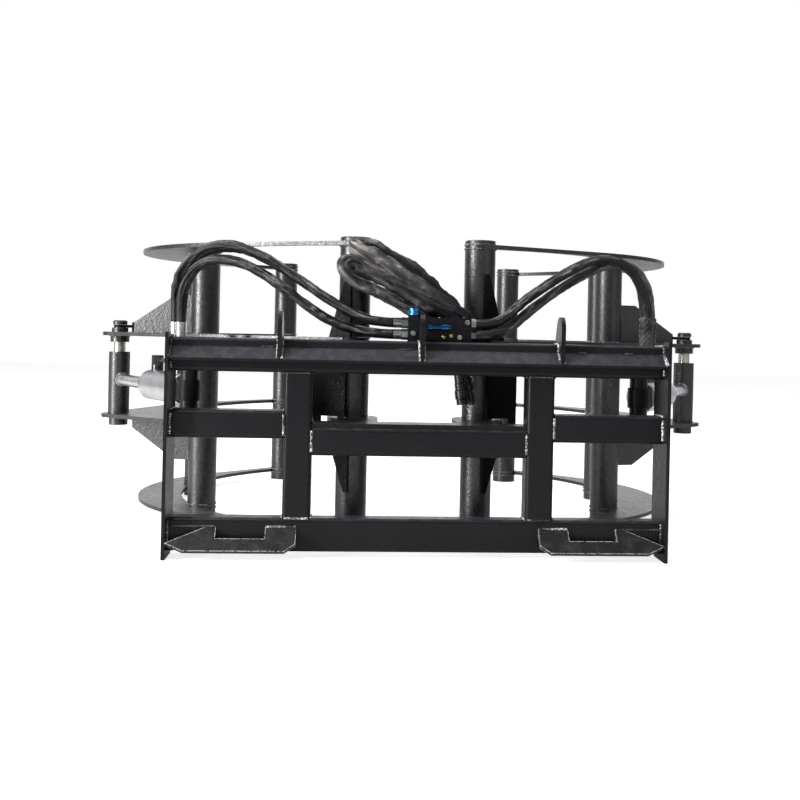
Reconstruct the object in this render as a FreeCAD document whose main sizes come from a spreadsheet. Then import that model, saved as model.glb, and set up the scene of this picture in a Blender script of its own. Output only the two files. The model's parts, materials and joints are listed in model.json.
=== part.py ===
"""A skid steer bale clamp: a quick-attach frame that carries two arms of crescent plates and upright tubes.

Each arm swings on a vertical pivot tube, pushed by one hydraulic cylinder, and hugs a bale from the side.
Millimetres. +X is the loader driver's right, +Y points forward to the bale and +Z up. The origin is the
middle of the centre rail's rear face, on the plane that meets the loader's coupler.
"""

import FreeCAD, Part
import math
import os
import re
import Sketcher

# Heights are above the floor, depths forward of the frame's rear plane and offsets sideways from the middle.
SIZES = {
    # end plates and the beam with its hook lip
    "frame_width": 1143,
    "end_plate": 8,
    "end_plate_rise": 87,
    "end_plate_reach": 30,
    "end_plate_slope": 10,
    "end_plate_corner": 14,
    "beam_section": 76.2,
    "beam_wall": 6.35,
    "beam_drop": 71,
    "tube_corner": 9,
    "lip_plate": 8,
    "lip_reach": 30,
    "lip_rise": 26,
    "lip_top_rise": 57,
    "rib_plate": 10,
    "rib_spacing": 320,
    "rib_edge_rise": 111,
    "rib_rise": 139,
    "rib_front": 45,
    # rails and posts
    "rail_section": 63.5,
    "rail_wall": 6.35,
    "center_rail_bottom": 232,
    "outer_rail_drop": 99,
    "post_offset": 277.5,
    "bottom_rail_height": 76.2,
    "bottom_rail_depth": 50.8,
    "bottom_rail_bottom": 14,
    # lock plates
    "lock_plate": 10,
    "lock_plate_top": 71,
    "lock_plate_drop": 46,
    "lock_plate_lean": 45,
    "lock_plate_inner": 276,
    "lock_pin_offset": 400,
    "lock_notch_width": 110,
    "lock_notch_depth": 32,
    "lock_tip_depth": 45,
    "lock_top_chamfer": 88,
    "lock_bottom_chamfer": 40,
    "lock_inner_chamfer": 24,
    # pivot plates, bushes and thrust rings
    "pivot_offset": 154,
    "pivot_depth": 200,
    "pivot_plate": 10,
    "upper_pivot_drop": 12,
    "pivot_ear_radius": 62,
    "upper_ear_inner": 140,
    "lower_ear_inner": 95,
    "ear_outer": 200,
    "lower_pivot_front": 71,
    "lower_pivot_rear": 6,
    "bush_wall": 6,
    "bush_flange": 8,
    "bush_flange_rim": 9,
    "bush_play": 0.08,
    "bush_seat": 0.1,
    "thrust_gap": 0.3,
    "thrust_ring_radius": 50,
    # arms
    "tube_diameter": 76.2,
    "tube_wall": 6.35,
    "tube_cap": 8,
    "arm_height": 745,
    "rear_tube_x": 562,
    "rear_tube_y": 530,
    "front_tube_x": 628,
    "front_tube_y": 894,
    "tip_x": 389,
    "tip_y": 1270,
    "arm_plate": 10,
    "bottom_plate_height": 24,
    "lower_plate_height": 263,
    "upper_plate_height": 490,
    "top_plate_drop": 20,
    "outer_arc_x": 265,
    "outer_arc_y": 760,
    "outer_arc_radius": 505,
    "inner_arc_x": 48,
    "inner_arc_y": 780,
    "inner_arc_radius": 601,
    "plate_wrap": 5.9,
    "arm_ear_radius": 60,
    "lug_radius": 46,
    "weld_gap": 0.2,
    # gussets of the arms
    "gusset_plate": 10,
    "pivot_gusset_height": 162,
    "pivot_gusset_drop": 137,
    "pivot_gusset_base": 46,
    "pivot_gusset_start": 10,
    "web_length": 84,
    "web_clear_length": 66,
    "web_margin": 3,
    "ear_gusset_height": 106,
    "ear_gusset_drop": 111,
    "ear_gusset_flat": 85,
    "ear_gusset_end": 208,
    "ear_gusset_tail": 28,
    # rod pin, its bosses and keeper
    "rod_pin_x": 806,
    "rod_pin_y": 594,
    "pin_diameter": 31.75,
    "pin_play": 0.2,
    "boss_diameter": 51,
    "boss_height": 18,
    "lower_boss_height": 22,
    "pin_washer": 4.2,
    "keeper_plate": 8,
    "keeper_width": 34,
    "keeper_length": 44,
    "keeper_lift": 12,
    "keeper_bolt": 12,
    "keeper_angle": 70,
    # cylinders
    "base_pin_inset": 30.5,
    "base_pin_y": 130,
    "cylinder_height": 368,
    "barrel_diameter": 76.2,
    "barrel_wall": 6.35,
    "barrel_start": 30,
    "barrel_end": 246,
    "base_cap": 14,
    "tang_width": 52,
    "tang_height": 48,
    "gland_length": 26,
    "gland_collar": 16,
    "gland_nose": 6,
    "gland_neck_diameter": 58,
    "rod_diameter": 31.75,
    "rod_start": 170,
    "piston_length": 32,
    "seal_play": 0.1,
    "cross_tube_diameter": 57,
    "cross_tube_wall": 4.75,
    "cross_tube_top": 440,
    # brackets of the cylinders on the frame
    "lug_plate": 12,
    "upper_lug_rise": 62,
    "lower_lug_drop": 68,
    "base_lug_radius": 27,
    "base_lug_width": 40,
    "spacer_diameter": 43,
    "pin_overhang": 8,
    # ports, fittings and hoses
    "port_boss_diameter": 30,
    "port_boss_height": 14,
    "base_port": 62,
    "far_port": 100,
    "gland_port": 222,
    "hose_end_rise": 161,
    "hose_end_run": 56,
    "nut_diameter": 30,
    "nut_length": 24,
    "ferrule_diameter": 26,
    "hose_diameter": 24,
    "feed_hose_diameter": 22,
    "hard_line_diameter": 12,
    "manifold_left": 30,
    "manifold_right": 118,
    "manifold_rear": 46,
    "manifold_front": 90,
    "manifold_height": 56,
    "manifold_port_depth": 68,
    "low_port_rise": 15.8,
    "high_port_rise": 42.8,
    "manifold_nut_length": 14,
    "manifold_bare_nut_length": 12,
    "manifold_ferrule_length": 20,
    "manifold_plate": 6,
    "valve_diameter": 28,
    "valve_height": 6,
    "valve_offset": 15,
    "feed_fitting_diameter": 24,
    "feed_ferrule_length": 28,
    "coupler_diameter": 32,
    "coupler_length": 72,
    "coupler_step": 2,
    "coupler_nose_diameter": 20,
}

# Heights and places that follow the sizes.
PLACES = {
    "beam_bottom": "upper_plate_height - beam_drop",
    "beam_top": "upper_plate_height - beam_drop + beam_section",
    "end_plate_height": "upper_plate_height - beam_drop + end_plate_rise",
    "lip_top": "upper_plate_height - beam_drop + lip_top_rise",
    "rib_edge_top": "upper_plate_height - beam_drop + rib_edge_rise",
    "rib_top": "upper_plate_height - beam_drop + rib_rise",
    "upper_pivot_bottom": "upper_plate_height - upper_pivot_drop",
    "outer_rail_bottom": "cylinder_height - outer_rail_drop",
    "top_plate_height": "arm_height - top_plate_drop",
    "cross_tube_bottom": "lower_plate_height + arm_plate + thrust_gap + pin_washer",
    "base_pin_x": "frame_width / 2 - base_pin_inset",
    "upper_lug_bottom": "cylinder_height + upper_lug_rise",
    "lower_lug_bottom": "cylinder_height - lower_lug_drop",
    "hose_end_height": "cylinder_height + hose_end_rise",
    "manifold_low_port": "upper_plate_height - beam_drop + beam_section + low_port_rise",
    "manifold_high_port": "upper_plate_height - beam_drop + beam_section + high_port_rise",
}

SIDES = (("right", 1), ("left", -1))

Vector = FreeCAD.Vector
UP = Vector(0, 0, 1)
doc = FreeCAD.newDocument("bale_clamp")
sheet = doc.addObject("Spreadsheet::Sheet", "sizes")
for row, (alias, value) in enumerate(SIZES.items(), start=1):
    sheet.set(f"A{row}", alias.replace("_", " "))
    sheet.set(f"B{row}", str(value))
    sheet.setAlias(f"B{row}", alias)
places = doc.addObject("App::VarSet", "places")

nodes = []


def tie(thing, prop, formula):
    """Binds a property to a formula of the sizes' and places' names."""
    def full_name(match):
        word = match.group()
        if word in SIZES:
            return f"sizes.{word}"
        return f"places.{word}" if word in PLACES else word

    thing.setExpression(prop, re.sub(r"[a-z][a-z_]+", full_name, formula))


for name, formula in PLACES.items():
    places.addProperty("App::PropertyFloat", name)
    tie(places, name, formula)
doc.recompute()


def size(name):
    """The value of a driving dimension or of a place that follows them."""
    return float(sheet.get(name) if name in SIZES else getattr(places, name))


ORIGIN_HEIGHT = size("center_rail_bottom") + size("rail_section") / 2
ORIGIN_FORMULA = "center_rail_bottom - rail_section / 2"


def height(above_floor):
    """The z of a height above the floor."""
    return above_floor - ORIGIN_HEIGHT


def height_formula(above_floor):
    """The same in the sheet's names."""
    return f"{above_floor} - {ORIGIN_FORMULA}"


def tie_place(thing, x=None, y=None, z=None):
    for axis, formula in (("x", x), ("y", y), ("z", z)):
        if formula is not None:
            tie(thing, f"Placement.Base.{axis}", formula)


def node(label, thing):
    """Registers a sub-part. Its label names its file."""
    thing.Label = label
    nodes.append(thing)
    return thing


def group(label, things):
    """Registers separate solids as one sub-part."""
    compound = doc.addObject("Part::Compound", label)
    compound.Links = things
    return node(label, compound)


def cut(name, base, tool):
    result = doc.addObject("Part::Cut", name)
    result.Base = base
    result.Tool = tool
    return result


def fuse(name, things):
    result = doc.addObject("Part::MultiFuse", name)
    result.Shapes = things
    result.Refine = True
    return result


def box(name, length, width, tall, x, y, z):
    thing = doc.addObject("Part::Box", name)
    tie(thing, "Length", length)
    tie(thing, "Width", width)
    tie(thing, "Height", tall)
    tie_place(thing, x, y, z)
    return thing


def disc(name, radius, tall, x, y, z):
    """An upright cylinder."""
    thing = doc.addObject("Part::Cylinder", name)
    tie(thing, "Radius", radius)
    tie(thing, "Height", tall)
    tie_place(thing, x, y, z)
    return thing


def ring(name, radius, bore, tall, x, y, z):
    """An upright ring."""
    return cut(name, disc(f"{name}_body", radius, tall, x, y, z), disc(f"{name}_bore", bore, tall, x, y, z))


def round_bar(name, radius, length, start, direction):
    """A cylinder along any direction."""
    thing = doc.addObject("Part::Cylinder", name)
    tie(thing, "Radius", radius)
    thing.Height = length
    thing.Placement = FreeCAD.Placement(start, FreeCAD.Rotation(UP, direction))
    return thing


def hex_bar(name, radius, length, start, direction):
    """A hexagon along any direction."""
    thing = doc.addObject("Part::Prism", name)
    thing.Polygon = 6
    tie(thing, "Circumradius", radius)
    thing.Height = length
    thing.Placement = FreeCAD.Placement(start, FreeCAD.Rotation(UP, direction))
    return thing


def plane_of(body, role):
    return next(feature for feature in body.Origin.OriginFeatures if feature.Role == role)


def new_sketch(body, name, role):
    sketch = body.newObject("Sketcher::SketchObject", name)
    sketch.AttachmentSupport = (plane_of(body, role), [""])
    sketch.MapMode = "FlatFace"
    return sketch


def draw(sketch, outline):
    """Draws a closed outline: (x, y) is the end of a straight edge, (x, y, via_x, via_y) that of an arc."""
    last = outline[-1]
    start = Vector(last[0], last[1], 0)
    for step in outline:
        end = Vector(step[0], step[1], 0)
        if len(step) == 2:
            sketch.addGeometry(Part.LineSegment(start, end), False)
        else:
            sketch.addGeometry(Part.Arc(start, Vector(step[2], step[3], 0), end), False)
        start = end


def flipped(outline, side):
    """The outline of the left or right piece, mirrored in x."""
    signs = (side, 1, side, 1)
    return [tuple(sign * value for sign, value in zip(signs, step)) for step in outline]


def mirrored_back(outline):
    """The outline's steps mirrored in x and run the other way round, from its last point to its first."""
    steps = [(-outline[-1][0], outline[-1][1])]
    for step, before in zip(outline[:0:-1], outline[-2::-1]):
        via = (-step[2], step[3]) if len(step) == 4 else ()
        steps.append((-before[0], before[1], *via))
    return steps


def plate(name, role, outline, thickness, holes=(), symmetric=False):
    """A plate padded from its outline, with round holes or notches pocketed through it."""
    body = doc.addObject("PartDesign::Body", name)
    sketch = new_sketch(body, f"{name}_outline", role)
    draw(sketch, outline)
    pad = body.newObject("PartDesign::Pad", f"{name}_pad")
    pad.Profile = sketch
    tie(pad, "Length", thickness)
    if symmetric:
        pad.SideType = "Symmetric"
    if holes:
        holes_sketch = new_sketch(body, f"{name}_holes", role)
        for x, y, radius in holes:
            holes_sketch.addGeometry(Part.Circle(Vector(x, y, 0), UP, radius), False)
        pocket = body.newObject("PartDesign::Pocket", f"{name}_pocket")
        pocket.Profile = holes_sketch
        pocket.Type = "ThroughAll"
        pocket.SideType = "Symmetric"
    return body


def turned(name, profile, placement):
    """A body of revolution: the profile is (place along the axis, radius) points, the axis local +X."""
    body = doc.addObject("PartDesign::Body", name)
    sketch = new_sketch(body, f"{name}_profile", "XY_Plane")
    draw(sketch, profile)
    revolution = body.newObject("PartDesign::Revolution", f"{name}_turn")
    revolution.Profile = sketch
    revolution.ReferenceAxis = (sketch, ["H_Axis"])
    revolution.Angle = 360
    body.Placement = placement
    return body


def rounded_rectangle(sketch, x, y, width, tall, radius):
    """Draws four sides and four corner arcs, tangent to each other, and returns the first edge's number."""
    first = sketch.GeometryCount
    right = x + width
    top = y + tall
    corners = [
        (right - radius, y + radius, -90, (x + radius, y), (right - radius, y)),
        (right - radius, top - radius, 0, (right, y + radius), (right, top - radius)),
        (x + radius, top - radius, 90, (right - radius, top), (x + radius, top)),
        (x + radius, y + radius, 180, (x, top - radius), (x, y + radius)),
    ]
    for center_x, center_y, start_angle, side_start, side_end in corners:
        sketch.addGeometry(Part.LineSegment(Vector(*side_start, 0), Vector(*side_end, 0)), False)
        circle = Part.Circle(Vector(center_x, center_y, 0), UP, radius)
        start = math.radians(start_angle)
        sketch.addGeometry(Part.ArcOfCircle(circle, start, start + math.pi / 2), False)
    for edge in range(8):
        joined = (first + edge, 2, first + (edge + 1) % 8, 1)
        sketch.addConstraint(Sketcher.Constraint("Tangent", *joined))
    for edge in (1, 3, 5):
        sketch.addConstraint(Sketcher.Constraint("Equal", first + edge, first + edge + 2))
    for edge in (0, 4):
        sketch.addConstraint(Sketcher.Constraint("Horizontal", first + edge))
    for edge in (2, 6):
        sketch.addConstraint(Sketcher.Constraint("Vertical", first + edge))
    return first


def dimension(sketch, kind, places, value, formula):
    """A dimension of a sketch, bound to the sheet."""
    index = sketch.addConstraint(Sketcher.Constraint(kind, *places, value))
    tie(sketch, f"Constraints[{index}]", formula)


def square_tube(name, role, width, tall, wall, length):
    """A rectangular tube with rounded corners. Its section starts at the body's own corner."""
    body = doc.addObject("PartDesign::Body", name)
    sketch = new_sketch(body, f"{name}_section", role)
    thick = size(wall)
    corner = size("tube_corner")
    outer = rounded_rectangle(sketch, 0, 0, size(width), size(tall), corner)
    inner_width = size(width) - 2 * thick
    inner_tall = size(tall) - 2 * thick
    inner = rounded_rectangle(sketch, thick, thick, inner_width, inner_tall, corner - thick)
    sketch.addConstraint(Sketcher.Constraint("PointOnObject", outer + 6, 1, -2))
    sketch.addConstraint(Sketcher.Constraint("PointOnObject", outer, 1, -1))
    dimension(sketch, "Radius", (outer + 1,), corner, "tube_corner")
    dimension(sketch, "Radius", (inner + 1,), corner - thick, f"tube_corner - {wall}")
    for first, across, up, shrink in (
        (outer, size(width), size(tall), ""),
        (inner, inner_width, inner_tall, f" - 2 * {wall}"),
    ):
        dimension(sketch, "DistanceX", (first + 6, 1, first + 2, 1), across, width + shrink)
        dimension(sketch, "DistanceY", (first, 1, first + 4, 1), up, tall + shrink)
    dimension(sketch, "DistanceX", (outer + 6, 1, inner + 6, 1), thick, wall)
    dimension(sketch, "DistanceY", (outer, 1, inner, 1), thick, wall)
    pad = body.newObject("PartDesign::Pad", f"{name}_pad")
    pad.Profile = sketch
    tie(pad, "Length", length)
    return body


def unit(dx, dy):
    length = math.hypot(dx, dy)
    return dx / length, dy / length


def on_circle(circle, direction):
    """The point of a circle (x, y, radius) that lies in a direction from its centre."""
    return circle[0] + circle[2] * direction[0], circle[1] + circle[2] * direction[1]


def common_tangent(first, second, side):
    """The ends of the line that touches two circles on its right (side 1) or left (side -1)."""
    distance = math.dist(first[:2], second[:2])
    along = (first[2] - second[2]) / distance
    across = side * math.sqrt(1 - along**2)
    ux, uy = unit(second[0] - first[0], second[1] - first[1])
    normal = (along * ux + across * uy, along * uy - across * ux)
    return on_circle(first, normal), on_circle(second, normal)


def meeting_point(first, second, side):
    """Where two circles meet, on the right (side 1) or left (side -1) of the line between them."""
    distance = math.dist(first[:2], second[:2])
    along = (first[2] ** 2 - second[2] ** 2 + distance**2) / (2 * distance)
    across = side * math.sqrt(first[2] ** 2 - along**2)
    ux, uy = unit(second[0] - first[0], second[1] - first[1])
    return first[0] + along * ux + across * uy, first[1] + along * uy - across * ux


def arc_to(end, circle, start, long_way=False):
    """An outline's arc step from start to end on a circle."""
    middle = unit(
        start[0] + end[0] - 2 * circle[0],
        start[1] + end[1] - 2 * circle[1],
    )
    if long_way:
        middle = (-middle[0], -middle[1])
    return (*end, *on_circle(circle, middle))


BEAM_TOP = size("beam_top")
INSIDE_WIDTH = "frame_width - 2 * end_plate"
INSIDE_LEFT = "end_plate - frame_width / 2"
INSIDE_HALF = size("frame_width") / 2 - size("end_plate")


# Quick-attach frame

def make_beam():
    beam = square_tube("top_beam", "YZ_Plane", "beam_section", "beam_section", "beam_wall", INSIDE_WIDTH)
    tie_place(beam, INSIDE_LEFT, "0", height_formula("beam_bottom"))
    node("top_beam", beam)


def make_hook_lip():
    """The plate that slopes down and back from the beam, bevelled to lie flat on it."""
    reach = size("lip_reach")
    rise = size("lip_rise")
    back, down = unit(reach, rise)
    top = size("lip_top")
    thick = size("lip_plate")
    under = (thick * down - reach, top - rise - thick * back)
    inner_foot = under[1] - under[0] * rise / reach
    outline = [(0, top), (-reach, top - rise), under, (0, inner_foot)]
    lip = plate("hook_lip", "YZ_Plane", [(y, height(z)) for y, z in outline], INSIDE_WIDTH)
    tie_place(lip, INSIDE_LEFT)
    node("hook_lip", lip)


def make_lip_ribs():
    reach = size("lip_reach")
    edge_top = height(size("rib_edge_top"))
    radius = size("rib_top") - size("rib_edge_top")
    crown = (radius - reach, edge_top, radius)
    front_foot = (size("rib_front"), height(BEAM_TOP))
    shoulder = common_tangent(crown, (*front_foot, 0), -1)[0]
    outline = [
        (0, height(BEAM_TOP)),
        (0, height(size("lip_top"))),
        (-reach, height(size("lip_top") - size("lip_rise"))),
        (-reach, edge_top),
        arc_to(shoulder, crown, (-reach, edge_top)),
        front_foot,
    ]
    ribs = []
    for name, place in (("left", "0 - rib_spacing"), ("middle", "0"), ("right", "rib_spacing")):
        rib = plate(f"lip_rib_{name}", "YZ_Plane", outline, "rib_plate", symmetric=True)
        tie_place(rib, place)
        ribs.append(rib)
    group("lip_ribs", ribs)


def make_end_plates():
    reach = size("end_plate_reach")
    front = size("beam_section")
    corner = size("end_plate_corner")
    top = size("end_plate_height")
    outline = [
        (-reach, 0),
        (-reach, top),
        (front, top - size("end_plate_slope")),
        (front, corner),
        (front - 2 * corner, 0),
    ]
    outline = [(y, height(z)) for y, z in outline]
    ends = []
    for name, place in (("right", "frame_width / 2 - end_plate"), ("left", "0 - frame_width / 2")):
        end = plate(f"end_plate_{name}", "YZ_Plane", outline, "end_plate")
        tie_place(end, place)
        ends.append(end)
    group("end_plates", ends)


def make_rails():
    bottom = square_tube(
        "bottom_rail", "YZ_Plane", "bottom_rail_depth", "bottom_rail_height", "rail_wall", INSIDE_WIDTH
    )
    tie_place(bottom, INSIDE_LEFT, "0", height_formula("bottom_rail_bottom"))
    node("bottom_rail", bottom)
    rail = ("rail_section", "rail_section", "rail_wall")
    center = square_tube("center_rail", "YZ_Plane", *rail, "2 * post_offset - rail_section")
    tie_place(center, "rail_section / 2 - post_offset", "0", height_formula("center_rail_bottom"))
    node("center_rail", center)
    posts = []
    outer_rails = []
    outer_length = "frame_width / 2 - end_plate - post_offset - rail_section / 2"
    for name, side in SIDES:
        post = square_tube(
            f"post_{name}", "XY_Plane", *rail, "beam_bottom - bottom_rail_bottom - bottom_rail_height"
        )
        post_foot = height_formula("bottom_rail_bottom + bottom_rail_height")
        tie_place(post, f"{side} * post_offset - rail_section / 2", "0", post_foot)
        posts.append(post)
        outer = square_tube(f"outer_rail_{name}", "YZ_Plane", *rail, outer_length)
        outer_start = "post_offset + rail_section / 2" if side > 0 else INSIDE_LEFT
        tie_place(outer, outer_start, "0", height_formula("outer_rail_bottom"))
        outer_rails.append(outer)
    group("posts", posts)
    group("outer_rails", outer_rails)


def make_lock_plates():
    """The sloped plates whose notches take the loader's lock pins."""
    lean = math.radians(size("lock_plate_lean"))
    top = size("lock_plate_top")
    drop = size("lock_plate_drop")
    thick = size("lock_plate")
    reach = drop / math.tan(lean)
    slope = drop / math.sin(lean)
    section = [
        (0, top),
        (-reach, top - drop),
        (thick * math.sin(lean) - reach, top - drop - thick * math.cos(lean)),
        (0, top - thick / math.cos(lean)),
    ]
    section = [(y, height(z)) for y, z in section]
    inner = size("lock_plate_inner")
    tip = size("lock_tip_depth")
    notch_depth = size("lock_notch_depth")
    notch_near = size("lock_pin_offset") - size("lock_notch_width") / 2
    notch_far = size("lock_pin_offset") + size("lock_notch_width") / 2
    outline = [
        (inner, 0),
        (notch_near, 0),
        (notch_near, notch_depth),
        (notch_far, notch_depth),
        (notch_far, 0),
        (INSIDE_HALF - size("lock_top_chamfer"), 0),
        (INSIDE_HALF, tip),
        (INSIDE_HALF - size("lock_bottom_chamfer"), slope),
        (inner + size("lock_inner_chamfer"), slope),
        (inner, tip),
    ]
    plates = []
    for name, side in SIDES:
        blank = plate(f"lock_blank_{name}", "YZ_Plane", section, INSIDE_WIDTH)
        tie_place(blank, INSIDE_LEFT)
        side_outline = flipped(outline, side)
        shape = plate(f"lock_outline_{name}", "XY_Plane", side_outline, "4 * lock_plate", symmetric=True)
        turn = FreeCAD.Rotation(Vector(1, 0, 0), 180 + size("lock_plate_lean"))
        shape.Placement = FreeCAD.Placement(Vector(0, 0, height(top)), turn)
        trimmed = doc.addObject("Part::Common", f"lock_plate_{name}")
        trimmed.Base = blank
        trimmed.Tool = shape
        plates.append(trimmed)
    group("lock_plates", plates)


# Pivots

PIVOT = (size("pivot_offset"), size("pivot_depth"))
TUBE_RADIUS = size("tube_diameter") / 2
BUSH_BORE = TUBE_RADIUS + size("bush_play")
BUSH_RADIUS = BUSH_BORE + size("bush_wall")
RAIL_TOP = size("center_rail_bottom") + size("rail_section")


def ear_edge(inner_foot, outer_foot):
    """The outline of an ear round the right pivot, from its outer foot to its inner foot."""
    ear = (*PIVOT, size("pivot_ear_radius"))
    outer_touch = common_tangent((*outer_foot, 0), ear, 1)[1]
    inner_touch = common_tangent(ear, (*inner_foot, 0), 1)[0]
    return [outer_foot, outer_touch, arc_to(inner_touch, ear, outer_touch, long_way=True), inner_foot]


def make_pivot_plates():
    hole = BUSH_RADIUS + size("bush_seat")
    front = size("beam_section")
    upper = []
    ear = ear_edge((size("upper_ear_inner"), front), (size("ear_outer"), front))
    for name, side in SIDES:
        hole_place = (side * PIVOT[0], PIVOT[1], hole)
        ear_plate = plate(f"pivot_ear_{name}", "XY_Plane", flipped(ear, side), "pivot_plate", [hole_place])
        tie_place(ear_plate, z=height_formula("upper_pivot_bottom"))
        upper.append(ear_plate)
    group("pivot_plate_upper", upper)

    front = size("lower_pivot_front")
    rear = size("lower_pivot_rear")
    half = size("post_offset") - size("rail_section") / 2
    ear = ear_edge((size("lower_ear_inner"), front), (size("ear_outer"), front))
    outline = [(-half, rear), (half, rear), (half, front), *ear, *mirrored_back(ear), (-half, front)]
    holes = [(side * PIVOT[0], PIVOT[1], hole) for _, side in SIDES]
    lower = plate("pivot_plate_lower", "XY_Plane", outline, "pivot_plate", holes)
    tie_place(lower, z=height_formula("center_rail_bottom + rail_section"))
    node("pivot_plate_lower", lower)


def make_bushes():
    """Flanged bushes, pressed up into the pivot plates."""
    flange = size("bush_flange")
    top = flange + size("pivot_plate")
    profile = [
        (0, BUSH_BORE),
        (0, BUSH_RADIUS + size("bush_flange_rim")),
        (flange, BUSH_RADIUS + size("bush_flange_rim")),
        (flange, BUSH_RADIUS),
        (top, BUSH_RADIUS),
        (top, BUSH_BORE),
    ]
    bushes = []
    for name, side in SIDES:
        for level, seat in (("lower", RAIL_TOP), ("upper", size("upper_pivot_bottom"))):
            place = Vector(side * PIVOT[0], PIVOT[1], height(seat - flange))
            upright = FreeCAD.Rotation(Vector(0, 1, 0), -90)
            bushes.append(turned(f"bush_{level}_{name}", profile, FreeCAD.Placement(place, upright)))
    group("pivot_bushes", bushes)


# Arms

OUTER_ARC = (size("outer_arc_x"), size("outer_arc_y"), size("outer_arc_radius"))
INNER_ARC = (size("inner_arc_x"), size("inner_arc_y"), size("inner_arc_radius"))
REAR_TUBE = (size("rear_tube_x"), size("rear_tube_y"))
FRONT_TUBE = (size("front_tube_x"), size("front_tube_y"))
TIP_TUBE = (size("tip_x"), size("tip_y"))
ROD_PIN = (size("rod_pin_x"), size("rod_pin_y"))
NOTCH_RADIUS = TUBE_RADIUS + size("weld_gap")
WRAP_RADIUS = TUBE_RADIUS + size("plate_wrap")
PIN_RADIUS = size("pin_diameter") / 2
PIN_HOLE = PIN_RADIUS + size("pin_play")


def crescent_outline():
    """The top and bottom plates: they end at the pivot tube and wrap the tip tube."""
    heel = (*PIVOT, WRAP_RADIUS)
    toe = (*TIP_TUBE, WRAP_RADIUS)
    heel_end = (PIVOT[0], PIVOT[1] - WRAP_RADIUS)
    heel_touch, outer_start = common_tangent(heel, OUTER_ARC, 1)
    outer_end, toe_touch = common_tangent(OUTER_ARC, toe, 1)
    toe_end = meeting_point(INNER_ARC, toe, -1)
    inner_end = (PIVOT[0], INNER_ARC[1] - math.sqrt(INNER_ARC[2] ** 2 - (PIVOT[0] - INNER_ARC[0]) ** 2))
    return [
        heel_end,
        arc_to(heel_touch, heel, heel_end),
        outer_start,
        arc_to(outer_end, OUTER_ARC, outer_start),
        toe_touch,
        arc_to(toe_end, toe, toe_touch),
        arc_to(inner_end, INNER_ARC, toe_end),
    ]


def middle_outline():
    """The two middle plates: an ear round the pivot tube and a lug for the cylinder's rod pin."""
    ear = (*PIVOT, size("arm_ear_radius"))
    toe = (*TIP_TUBE, WRAP_RADIUS)
    lug = (*ROD_PIN, size("lug_radius"))
    ear_touch, outer_start = common_tangent(ear, OUTER_ARC, 1)
    lug_start, lug_near = common_tangent(OUTER_ARC, lug, 1)
    lug_far, outer_again = common_tangent(lug, OUTER_ARC, 1)
    outer_end, toe_touch = common_tangent(OUTER_ARC, toe, 1)
    toe_end = meeting_point(INNER_ARC, toe, -1)
    ear_start = meeting_point(INNER_ARC, ear, 1)
    return [
        arc_to(ear_touch, ear, ear_start, long_way=True),
        outer_start,
        arc_to(lug_start, OUTER_ARC, outer_start),
        lug_near,
        arc_to(lug_far, lug, lug_near),
        outer_again,
        arc_to(outer_end, OUTER_ARC, outer_again),
        toe_touch,
        arc_to(toe_end, toe, toe_touch),
        arc_to(ear_start, INNER_ARC, toe_end),
    ]


def arm_tube(name, side, x, y):
    """An upright tube of the arm, open below and capped on top."""
    place = (f"{side} * {x}", y)
    outside = disc(f"{name}_outside", "tube_diameter / 2", "arm_height", *place, height_formula("0"))
    bore_height = "arm_height - tube_cap"
    inside = disc(f"{name}_inside", "tube_diameter / 2 - tube_wall", bore_height, *place, height_formula("0"))
    return cut(name, outside, inside)


def make_arm_tubes(name, side):
    node(f"pivot_tube_{name}", arm_tube(f"pivot_tube_{name}", side, "pivot_offset", "pivot_depth"))
    rear = arm_tube(f"rear_tube_{name}", side, "rear_tube_x", "rear_tube_y")
    front = arm_tube(f"front_tube_{name}", side, "front_tube_x", "front_tube_y")
    group(f"bale_tubes_{name}", [rear, front])
    node(f"tip_tube_{name}", arm_tube(f"tip_tube_{name}", side, "tip_x", "tip_y"))


def make_arm_plates(name, side):
    notches = [(side * x, y, NOTCH_RADIUS) for x, y in (PIVOT, REAR_TUBE, FRONT_TUBE, TIP_TUBE)]
    pin_hole = (side * ROD_PIN[0], ROD_PIN[1], PIN_HOLE)
    for level, outline, holes in (
        ("bottom", crescent_outline(), notches),
        ("lower", middle_outline(), [*notches, pin_hole]),
        ("upper", middle_outline(), [*notches, pin_hole]),
        ("top", crescent_outline(), notches),
    ):
        crescent = plate(f"{level}_plate_{name}", "XY_Plane", flipped(outline, side), "arm_plate", holes)
        tie_place(crescent, z=height_formula(f"{level}_plate_height"))
        node(f"{level}_plate_{name}", crescent)


def upright_plate(name, side, outline, foot, angle, symmetric):
    """A plate standing in an upright plane through foot. Its outline is (distance along the plane, z)."""
    stood = plate(name, "XZ_Plane", flipped(outline, side), "gusset_plate", symmetric=symmetric)
    turn = FreeCAD.Rotation(UP, math.degrees(side * angle))
    stood.Placement = FreeCAD.Placement(Vector(side * foot[0], foot[1], 0), turn)
    return stood


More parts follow.
